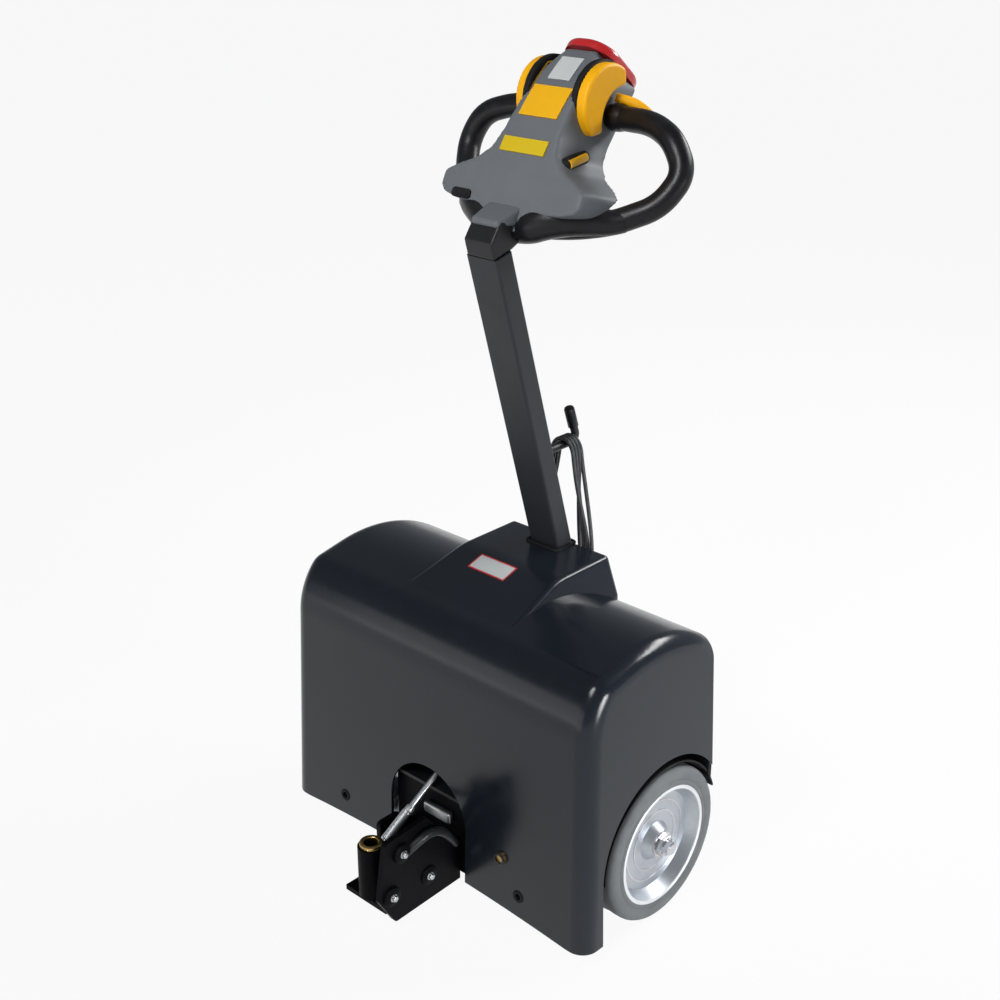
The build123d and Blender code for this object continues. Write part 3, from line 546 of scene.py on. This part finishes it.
def softCopy(node, name, finish, voxel, passes):  # CAD form with moulded, rounded edges
    rough = nodes[node].copy()
    rough.data = nodes[node].data.copy()
    rough.parent = None
    scene.collection.objects.link(rough)
    bm = bmesh.new()
    bm.from_mesh(rough.data)
    bmesh.ops.remove_doubles(bm, verts=bm.verts, dist=cadWeld)
    bm.to_mesh(rough.data)
    bm.free()
    remesh = rough.modifiers.new("even", "REMESH")
    remesh.mode = "VOXEL"
    remesh.voxel_size = voxel / 1000
    bpy.context.view_layer.update()
    even = rough.evaluated_get(bpy.context.evaluated_depsgraph_get())
    bm = bmesh.new()
    bm.from_mesh(even.data)
    bpy.data.objects.remove(rough)
    for step in range(passes):
        bmesh.ops.smooth_vert(bm, verts=bm.verts, factor=0.5, use_axis_x=True, use_axis_y=True,
                              use_axis_z=True)
    settle(name, bm, finish, replaced=(node,), sharp=180)


softCopy("tiller_head", "tillerHead", "headGrey", voxel=2.6, passes=9)
softCopy("tiller_knuckle", "tillerKnuckle", "knuckleBlack", voxel=1.7, passes=4)
print("head moulded")

# recess round the side button: its ends along the head, radius, how far in and which way
button = {"low": (101, 7, 65), "high": (132, -27, 54), "radius": 9.5, "sunk": 4.5, "across": -0.8,
          "down": 0.3, "steps": 24}


def buildRecess(b):
    low, high = headPoint(*b["low"]), headPoint(*b["high"])
    run, r = (high - low).length * 1000, b["radius"]
    arc = [(r * math.sin(math.radians(turn)), r * math.cos(math.radians(turn))) for turn in (0, 30, 60, 90)]
    profile = [(x, -h) for x, h in arc] + [(x, run + h) for x, h in reversed(arc)]
    headOut = (headPoint(0, 1, 0) - headPoint(0, 0, 0)).normalized()
    inward = (Vector((b["across"], 0, 0)) - headOut * b["down"]).normalized()
    bm = bmesh.new()
    turned(bm, profile, low + inward * b["sunk"] / 1000, high - low, b["steps"])
    settle("buttonRecess", bm, "gasketBlack")


buildRecess(button)

# slot in the left wing: share of its depth in each rounded end, rim and how far its floor is sunk
wing = {"place": (-78, -9.6, 970.4), "size": (34, 13, 2.4), "face": (0, -0.91, 0.41), "end": 0.45, "rim": 1.2,
        "sunk": 0.6}


def buildSlot(s):
    wide, deep, thick = (v / 1000 for v in s["size"])
    bm = bmesh.new()
    bmesh.ops.create_cube(bm, size=1)
    bmesh.ops.scale(bm, verts=bm.verts, vec=(wide, deep, thick))
    upright = [e for e in bm.edges if abs(e.verts[0].co.z - e.verts[1].co.z) > thick / 2]
    bmesh.ops.bevel(bm, geom=upright, affect="EDGES", offset=deep * s["end"], segments=5, profile=0.5,
                    material=-1)
    top = max(bm.faces, key=lambda f: f.calc_center_median().z)
    bmesh.ops.inset_region(bm, faces=[top], thickness=s["rim"] / 1000, depth=-s["sunk"] / 1000)
    bm.transform(facing(mm(*s["place"]), s["face"]))
    settle("wingSlot", bm, "gasketBlack")


buildSlot(wing)

# chin: half-width, Y and top of its front and back ends
chin = {"ahead": (23.22, -49, 953.5), "behind": (28.62, -6, 968), "low": 944, "edge": 4.2}


def buildChin(c):  # grey lip over the top of the knuckle
    bm = bmesh.new()
    bmesh.ops.create_cube(bm, size=2)
    for v in bm.verts:
        half, y, top = c["ahead"] if v.co.y < 0 else c["behind"]
        v.co = mm(v.co.x * half, y, top if v.co.z > 0 else c["low"])
    bmesh.ops.bevel(bm, geom=bm.edges[:], affect="EDGES", offset=c["edge"] / 1000, segments=5, profile=0.5,
                    material=-1)
    settle("chinLip", bm, "headGrey", sharp=60)


buildChin(chin)

shadePlate = {"thick": 0.42, "spread": 1.07}  # shares of the throttle lever, for the painted shade plate behind it


def throttleShadePlate(side, sign):  # painted shade: a dark, slightly larger copy of the lever behind it, standing in for the shadow ring between the lever and the head
    bm = bmesh.new()
    bm.from_mesh(nodes["throttle_" + side].data)
    low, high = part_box("throttle_" + side)
    middle = (low + high) / 2
    foot = low.x if sign > 0 else high.x
    for v in bm.verts:
        v.co.x = foot + (v.co.x - foot) * shadePlate["thick"]
        v.co.y = middle.y + (v.co.y - middle.y) * shadePlate["spread"]
        v.co.z = middle.z + (v.co.z - middle.z) * shadePlate["spread"]
    settle("throttleSeal_" + side, bm, "gasketBlack", sharp=50)


for side, sign in sides:
    throttleShadePlate(side, sign)

# handles: thick roots under the head, collars where the loops come back, tabs behind the throttles
handles = {
    "loopRoot_": {"radius": 16.0, "finish": "gripBlack", "slot": "grip_black",
                  "points": ((16, 0, 934, 1.1), (34, -2, 939, 1.32), (54, 6, 950, 1.48), (76, 17, 955, 1.44),
                             (96, 33, 954, 1.3), (112, 48, 951, 1.1), (124, 58, 950.4, 1.01),
                             (136, 66.5, 953.4, 0.92))},
    "loopCollar_": {"radius": 16.0, "finish": "gripBlack", "slot": "grip_black",
                    "points": ((46, 145.4, 1064, 1.0), (52, 145, 1064, 1.16), (62, 144.4, 1064, 1.16),
                               (70, 144, 1064, 1.02))},
    "throttleTab_": {"radius": 7.0, "finish": "leverGold", "slot": "signal_yellow",
                     "points": ((50, 148, 1089, 0.8), (64, 159, 1084, 1.0), (80, 166, 1077, 0.95),
                                (91, 170, 1071, 0.55))},
}
for side, sign in sides:
    for name, kind in handles.items():
        points = [(sign * x, y, z, share) for x, y, z, share in kind["points"]]
        tube(name + side, points, kind["radius"], kind["finish"])
print("handles rooted")

# drive wheels: profiles are (radius, out along the axle), the sidewall's are (radius, in from the face)
tyreLow, tyreHigh = span("tyre_right")
wheel = {
    "face": tyreHigh.x, "half": (tyreHigh.x - tyreLow.x) / 2, "z": tyreHigh.z / 2, "steps": 56,
    "sidewall": ((89.2, 0.6), (93, 0.2), (95.5, 1.6), (98, 0.4), (107.5, 0.1), (112.4, 2.3), (114.5, 6),
                 (115, 9)),
    "groove": ((115, 7.5), (113.5, 6.8), (113.5, 5.4)), "ringSteps": 64,
    "hubFace": 290, "washer": ((10.1, 0), (19, 0), (19.4, 0.6), (19, 1.8), (10.1, 1.8)), "washerSteps": 36,
    "nut": ((9.6, 1.8), (15.2, 1.8), (16, 2.6), (16, 8.6), (15.2, 9.4), (9.6, 9.4)),
    "pinFace": 303, "pin": ((0, 13), (1.3, 13), (1.5, 12)), "pinLean": (0, 0.5, 0.87), "pinSteps": 10,
    "dishFace": 277, "ridges": (44, 60), "ridge": ((0, -0.4), (0.2, 0.7), (2.2, 0.7), (2.4, -0.4)),
    "rimFace": 294, "bead": ((82.5, -4), (83.6, 0.2), (84.8, 0.9), (87.6, 0.9), (88.8, 0.3), (89.0, -4)),
}


def driveTyre(side, sign, w):
    tread = [(r, w["half"] - inset) for r, inset in w["sidewall"]] + list(w["groove"])
    centre = mm(sign * (w["face"] - w["half"]), 0, w["z"])
    bm = bmesh.new()
    turned(bm, mirrored(tread), centre, (sign, 0, 0), w["steps"], closed=True)
    settle("driveTyre_" + side, bm, "tyreGrey", "drive_wheel_" + side, ("tyre_" + side,),
           sharp=40)


def hubNut(side, sign, w):  # nut, its washer and split pin, and the turned ridges on the dish
    out = (sign, 0, 0)
    hubFace, dishFace = mm(sign * w["hubFace"], 0, w["z"]), mm(sign * w["dishFace"], 0, w["z"])
    bm = bmesh.new()
    turned(bm, w["washer"], hubFace, out, w["washerSteps"], closed=True)
    turned(bm, w["nut"], hubFace, out, 6, closed=True)
    turned(bm, mirrored(w["pin"]), mm(sign * w["pinFace"], 0, w["z"]), w["pinLean"], w["pinSteps"])
    for ring in w["ridges"]:
        turned(bm, [(ring + r, h) for r, h in w["ridge"]], dishFace, out, w["ringSteps"], closed=True)
    settle("hubNut_" + side, bm, "brightSteel", "drive_wheel_" + side, sharp=30)


# the rim's lip ring, in a silver paler than the dish, which paints the bright highlight along the lip
def rimBead(side, sign, w):
    bm = bmesh.new()
    turned(bm, w["bead"], mm(sign * w["rimFace"], 0, w["z"]), (sign, 0, 0), w["ringSteps"], closed=True)
    settle("rimBead_" + side, bm, "beadSilver", "drive_wheel_" + side, sharp=40)


# wheel well: (radius, X) section, where its sweep begins, flaps that close it to the hood's rear hem
well = {"ring": ((121.5, 228), (121.5, 291), (124, 291), (124, 228)), "from": 19, "sweep": 163, "steps": 40,
        "flaps": ((228, 293, 99.8, 103.6, 180, 214), (228, 293, 103.2, 107.4, 176, 195)), "flapEdge": 0.8}


def wheelWell(side, sign, w):
    bm = bmesh.new()
    start = bm.faces.new([bm.verts.new((r / 1000, 0, x / 1000)) for r, x in w["ring"]])
    bmesh.ops.spin(bm, geom=[start], cent=(0, 0, 0), axis=(0, 0, 1), angle=math.radians(w["sweep"]),
                   steps=w["steps"], use_duplicate=False)
    alongX = Matrix(((0, 0, 1, 0), (1, 0, 0, 0), (0, 1, 0, 0), (0, 0, 0, 1)))  # turns the spin's axis to +X
    begin = Matrix.Rotation(math.radians(w["from"]), 4, "Z")
    bm.transform(Matrix.Translation(mm(0, 0, wheel["z"])) @ alongX @ begin)
    for flap in w["flaps"]:
        roundedBlock(bm, *flap, w["flapEdge"], 2)
    if sign < 0:
        bmesh.ops.scale(bm, verts=bm.verts, vec=(-1, 1, 1))
    settle("wheelWell_" + side, bm, "gasketBlack", sharp=30)


for side, sign in sides:
    driveTyre(side, sign, wheel)
    hubNut(side, sign, wheel)
    rimBead(side, sign, wheel)
    wheelWell(side, sign, well)
print("wheels shod")

# casters: rounded tyres, axle nuts, swivel rings and plate bolts
mountLow, mountHigh = span("caster_mount_right")
rollLow, rollHigh = span("caster_tyre_right")
caster = {
    "x": (mountLow.x + mountHigh.x) / 2, "y": (mountLow.y + mountHigh.y) / 2,
    "wheelY": (rollLow.y + rollHigh.y) / 2, "wheelZ": rollHigh.z / 2, "half": (rollHigh.x - rollLow.x) / 2,
    "edge": ((27.1, 0.3), (33, 0), (38.2, 1.2), (40, 4.5)), "steps": 32,
    "nutFace": 24.2, "nut": (12, 4.2, 8.5), "ringZ": 131,
    "ring": ((17, 0), (24, 0), (24.6, -1.4), (24, -2.8), (17, -2.8)),
    "plateZ": 145, "reach": 33, "plateBolt": (10, 4, 7.5, 15),
}


def casterDetail(side, sign, c):
    axle = mm(sign * c["x"], c["wheelY"], c["wheelZ"])
    tread = [(r, c["half"] - inset) for r, inset in c["edge"]]
    bm = bmesh.new()
    turned(bm, mirrored(tread), axle, (1, 0, 0), c["steps"], closed=True)
    settle("casterTyre_" + side, bm, "tyreGrey", "caster_wheel_" + side,
           ("caster_tyre_" + side,), sharp=40)
    bm = bmesh.new()
    for way in (-1, 1):
        hexBolt(bm, axle + Vector((way * c["nutFace"] / 1000, 0, 0)), (way, 0, 0), *c["nut"])
    turned(bm, c["ring"], mm(sign * c["x"], c["y"], c["ringZ"]), (0, 0, 1), c["steps"], closed=True)
    settle("casterNuts_" + side, bm, "zincPlate", "caster_swivel_" + side)
    bm = bmesh.new()
    for dx in (-c["reach"], c["reach"]):
        for dy in (-c["reach"], c["reach"]):
            hexBolt(bm, mm(sign * c["x"] + dx, c["y"] + dy, c["plateZ"]), (0, 0, -1), *c["plateBolt"])
    settle("casterBolts_" + side, bm, "zincPlate")


for side, sign in sides:
    casterDetail(side, sign, caster)
print("casters done")

# hitch: bolts as (Y, Z, boss height) on the right cheek and (Y, Z) on the left stub, lever, bar in the mouth
hitch = {
    "cheekFace": span("hitch_cheek_right")[1].x, "bolt": (8, 4, 6, 10),
    "cheekBolts": ((-270, 124, 6), (-290, 62, 5), (-218, 58, 3)), "stubBolts": ((-196, 82), (-206, 42)),
    "boss": 15, "bossEdge": ((0, 2), (0.7, 0.7), (2, 0)), "bossSunk": 0.2, "bossSteps": 40,
    "lever": ((44, -262, 112, 1.1), (56, -242, 134, 1.1), (58, -212, 136, 1), (57, -186, 114, 1),
              (50, -164, 84, 0.9)),
    "leverRadius": 6.5, "bar": (-14, 38, -166, -155.2, 108, 126), "barEdge": 3.5,
}


def buildHitch(h):
    bm = bmesh.new()
    for y, z, rise in h["cheekBolts"]:
        hexBolt(bm, mm(h["cheekFace"] + rise, y, z), (1, 0, 0), *h["bolt"])
    for y, z in h["stubBolts"]:
        hexBolt(bm, mm(-h["cheekFace"], y, z), (-1, 0, 0), *h["bolt"])
    settle("cheekBolts", bm, "zincPlate")
    bm = bmesh.new()
    for y, z, rise in h["cheekBolts"]:
        rounded = [(h["boss"] - inset, rise - drop) for inset, drop in h["bossEdge"]]
        foot = mm(h["cheekFace"] - h["bossSunk"], y, z)
        turned(bm, [(0, 0), (h["boss"], 0), *rounded, (0, rise)], foot, (1, 0, 0), h["bossSteps"])
    settle("cheekBosses", bm, "hitchBlack")
    tube("latchLever", h["lever"], h["leverRadius"], "frameBlack")
    bm = bmesh.new()
    roundedBlock(bm, *h["bar"], h["barEdge"], 4)
    settle("mouthBar", bm, "zincPlate")


buildHitch(hitch)

# brass collar on the pin tube, sleeves on the release rod and the cable hook
collarLow, collarHigh = span("hitch_collar")
pinCollar = {"places": ((0, (collarLow.y + collarHigh.y) / 2, collarLow.z),), "along": (0, 0, 1), "steps": 48,
             "profile": ((10.1, 0), (16.2, 0), (16.5, 0.5), (16.5, 2.2), (15.9, 2.7), (15.9, 3.8),
                         (16.5, 4.3), (16.3, 5.6), (15.6, 6), (11.2, 6), (10.1, 5))}
rodSleeve = {"places": ((0, -254, 111.4),), "along": (0, 131.8, 77.6), "steps": 24,
             "profile": ((4.3, 0), (6.6, 0), (7.2, 0.8), (7.2, 50), (6.4, 51), (6.4, 58), (5.4, 60),
                         (4.3, 60))}
hookSleeve = {"places": ((0, 135.8, 623.2),), "along": (0, -0.35, 1), "steps": 24,
              "profile": ((6.1, 0), (7.2, 0), (7.7, 0.8), (7.7, 30), (6.8, 32.4), (4.2, 33.8), (0, 34),
                          (0, 33), (6.1, 31))}
turnedPiece("pinCollar", "brassWorn", pinCollar, replaced=("hitch_collar",))
turnedPiece("rodSleeve", "beadSilver", rodSleeve)
turnedPiece("hookSleeve", "gripBlack", hookSleeve, closed=False)
print("hitch bolted")

# hood: blank sticker on the ramp
hoodTree = BVHTree.FromPolygons([v.co for v in nodes["hood"].data.vertices],
                                [p.vertices for p in nodes["hood"].data.polygons])
sticker = {"x": (-47, 23), "y": (-37, -6), "border": 2.4, "edgeLift": 0.15, "faceLift": 0.3, "above": 700}


def laidOnHood(name, x0, x1, y0, y1, lift, finish):
    bm = bmesh.new()
    bmesh.ops.create_grid(bm, x_segments=14, y_segments=8, size=0.5)
    for v in bm.verts:
        over = mm(x0 + (v.co.x + 0.5) * (x1 - x0), y0 + (v.co.y + 0.5) * (y1 - y0), sticker["above"])
        hit, normal = hoodTree.ray_cast(over, Vector((0, 0, -1)))[:2]
        v.co = hit + normal * lift / 1000
    settle(name, bm, finish, recalc=False)


(x0, x1), (y0, y1), edge = sticker["x"], sticker["y"], sticker["border"]
laidOnHood("stickerEdge", x0, x1, y0, y1, sticker["edgeLift"], "signalRed")
laidOnHood("stickerFace", x0 + edge, x1 - edge, y0 + edge, y1 - edge, sticker["faceLift"], "platePale")

# gasket round the tiller: rounded rectangle of the arm, lip as (out, up) pairs
gasket = {"y": 90.4, "z": 455.8, "half": 28, "deep": 19.6, "round": 4, "corner": 6,
          "lip": ((0, 0), (4.2, 0), (4.2, 2.0), (3.2, 3.2), (1.0, 3.6), (0, 3.2))}


def buildGasket(g):  # rubber lip where the arm leaves the hood
    bm = bmesh.new()
    rows = []
    for quarter, (sx, sy) in enumerate(((1, 1), (-1, 1), (-1, -1), (1, -1))):
        x, y = sx * (g["half"] - g["round"]), g["y"] + sy * (g["deep"] - g["round"])
        for step in range(g["corner"] + 1):
            turn = math.radians(90 * (quarter + step / g["corner"]))
            rows.append([bm.verts.new(mm(x + (g["round"] + out) * math.cos(turn),
                                         y + (g["round"] + out) * math.sin(turn), g["z"] + rise))
                         for out, rise in g["lip"]])
    count = len(g["lip"])
    for i, row in enumerate(rows):
        after = rows[(i + 1) % len(rows)]
        for k in range(count):
            bm.faces.new((row[k], after[k], after[(k + 1) % count], row[(k + 1) % count]))
    settle("tillerGasket", bm, "gasketBlack", sharp=50)


buildGasket(gasket)

# ring round the front fitting and washers at the bolt holes
fittingRing = {"places": ((144.5, -174.6, 110),), "along": (0, -1, 0), "steps": 28,
               "profile": ((6.2, 0), (9.6, 0), (9.6, 0.8), (8.4, 1.6), (6.2, 1.6))}
boltWashers = {"places": ((-178, -172.3, 63), (178, -172.3, 63)), "along": (0, -1, 0.03), "steps": 28,
               "profile": ((4.7, 0), (9.5, 0), (9.5, 0.7), (8.6, 1.4), (5.4, 1.4), (4.7, 0.7))}
turnedPiece("fittingRing", "frameBlack", fittingRing)
turnedPiece("boltWashers", "gasketBlack", boltWashers)
print("hood dressed")

# rear: panel and hump screws, flange of the lead's gland, louvres
rearLow, rearHigh = span("rear_panel")
glandLow, glandHigh = span("cable_gland")
rear = {
    "y": rearHigh.y, "z": (rearLow.z + rearHigh.z) / 2, "behind": 300,
    "screwX": rearHigh.x - 14, "screwLow": rearLow.z + 12, "screw": (4.2, 2.2), "humpScrew": (4.6, 2.4),
    "humpScrews": ((-82, 215), (82, 215), (-82, 300), (82, 300), (-76, 380), (76, 380)),
    "glandX": (glandLow.x + glandHigh.x) / 2, "glandZ": (glandLow.z + glandHigh.z) / 2, "beside": 16,
    "flange": ((9.2, 0), (14, 0), (14, 1.2), (13, 2.4), (10.4, 2.4), (9.2, 1.4)), "flangeSteps": 32,
    "louvres": 5, "pitch": 11, "louvreX": (-150, -60), "louvreSunk": 0.5, "louvreOut": 2.6, "louvreHalf": 2.4,
    "louvreEdge": 1.2,
}


def fromBehind(x, z):  # where the hood is met from the rear
    return hoodTree.ray_cast(mm(x, rear["behind"], z), Vector((0, -1, 0)))[:2]


def buildRear(r):
    bm = bmesh.new()
    for sign in (-1, 1):
        for z in (r["screwLow"], r["z"]):
            panScrew(bm, mm(sign * r["screwX"], r["y"], z), (0, 1, 0), *r["screw"])
    for x, z in r["humpScrews"]:
        panScrew(bm, *fromBehind(x, z), *r["humpScrew"])
    settle("rearScrews", bm, "zincPlate")
    bm = bmesh.new()
    hit, normal = fromBehind(r["glandX"], r["glandZ"] + r["beside"])
    turned(bm, r["flange"], Vector((hit.x, hit.y, r["glandZ"] / 1000)), normal, r["flangeSteps"], closed=True)
    settle("glandFlange", bm, "plugBlack")
    bm = bmesh.new()
    for step in range(r["louvres"]):
        z = r["z"] + (step - (r["louvres"] - 1) / 2) * r["pitch"]
        roundedBlock(bm, *r["louvreX"], r["y"] - r["louvreSunk"], r["y"] + r["louvreOut"],
                     z - r["louvreHalf"], z + r["louvreHalf"], r["louvreEdge"])
    settle("rearLouvres", bm, "frameBlack")


buildRear(rear)
print("rear dressed")

# floor and light
studio = {
    "floor": (0.82, 0.82, 0.82), "floorHalf": 30, "floorShare": 0.93, "horizon": (0.30, 0.32, 0.36),
    "zenith": (0.10, 0.105, 0.12), "bend": (0.02, 0.5), "strength": 0.85, "backdrop": (0.955, 0.955, 0.955),
    "glossShare": 0.12,
    "lamps": {  # place, aim, width and height in metres, watts, spread
        "keyRight": ((2600, -100, 480), (240, -20, 240), (1.8, 0.8), 4.6, 34),
        "frontLow": ((-900, -2900, 620), (0, 0, 300), (3.0, 1.2), 14, 180),
        "headFront": ((300, -1900, 2500), (0, 40, 1020), (0.8, 0.8), 5.2, 52),
        "rearTop": ((900, 1900, 1900), (0, 0, 450), (1.8, 0.5), 48, 180),
    },
}


def setFloor(s):
    bm = bmesh.new()
    bmesh.ops.create_grid(bm, x_segments=4, y_segments=4, size=s["floorHalf"])
    mesh = bpy.data.meshes.new("floor")
    bm.to_mesh(mesh)
    bm.free()
    floor = bpy.data.objects.new("floor", mesh)
    scene.collection.objects.link(floor)
    pale = bpy.data.materials.new("paleFloor")
    graph = Graph(pale)
    matt = graph.node("ShaderNodeBsdfDiffuse", {}, {"Color": (*s["floor"], 1)})
    glow = graph.node("ShaderNodeEmission", {}, {"Color": (1, 1, 1, 1), "Strength": 1})
    seen = graph.rays("Is Camera Ray", "Is Glossy Ray", "Is Transmission Ray") * s["floorShare"]
    mixed = graph.node("ShaderNodeMixShader", {}, {0: seen, 1: matt, 2: glow})
    below = graph.node("ShaderNodeNewGeometry", {}, {}, "Backfacing")  # clear to a view from underneath
    clear = graph.node("ShaderNodeBsdfTransparent", {}, {})
    mixed = graph.node("ShaderNodeMixShader", {}, {0: below, 1: mixed, 2: clear})
    graph.node("ShaderNodeOutputMaterial", {}, {"Surface": mixed}, None)
    mesh.materials.append(pale)


def setWorld(s):  # white to the camera, a dim sky to everything else
    world = bpy.data.worlds.new("studio")
    scene.world = world
    graph = Graph(world)
    up = graph.node("ShaderNodeTexCoord", {}, {}, "Generated")
    up = graph.node("ShaderNodeSeparateXYZ", {}, {0: up}, "Z")
    low, high = s["bend"]
    sky = graph.node("ShaderNodeValToRGB", {"stops": ((low, s["horizon"]), (high, s["zenith"]))}, {0: up})
    soft = graph.node("ShaderNodeBackground", {}, {"Color": sky, "Strength": s["strength"]})
    white = graph.node("ShaderNodeBackground", {}, {"Color": (*s["backdrop"], 1), "Strength": 1})
    gloss = graph.rays("Is Glossy Ray") * s["glossShare"]
    seen = graph.sums("MAXIMUM", graph.rays("Is Camera Ray", "Is Transmission Ray"), gloss)
    mixed = graph.node("ShaderNodeMixShader", {}, {0: seen, 1: soft, 2: white})
    graph.node("ShaderNodeOutputWorld", {}, {"Surface": mixed}, None)


def softbox(name, place, aim, size, power, spread):
    data = bpy.data.lights.new(name, "AREA")
    data.shape = "RECTANGLE"
    data.size, data.size_y = size
    data.energy = power
    data.spread = math.radians(spread)
    lamp = bpy.data.objects.new(name, data)
    lamp.location = mm(*place)
    lamp.rotation_mode = "QUATERNION"
    lamp.rotation_quaternion = (mm(*aim) - mm(*place)).to_track_quat("-Z", "Y")
    scene.collection.objects.link(lamp)


setFloor(studio)
setWorld(studio)
for lampName, lamp in studio["lamps"].items():
    softbox(lampName, *lamp)
print("studio lit")
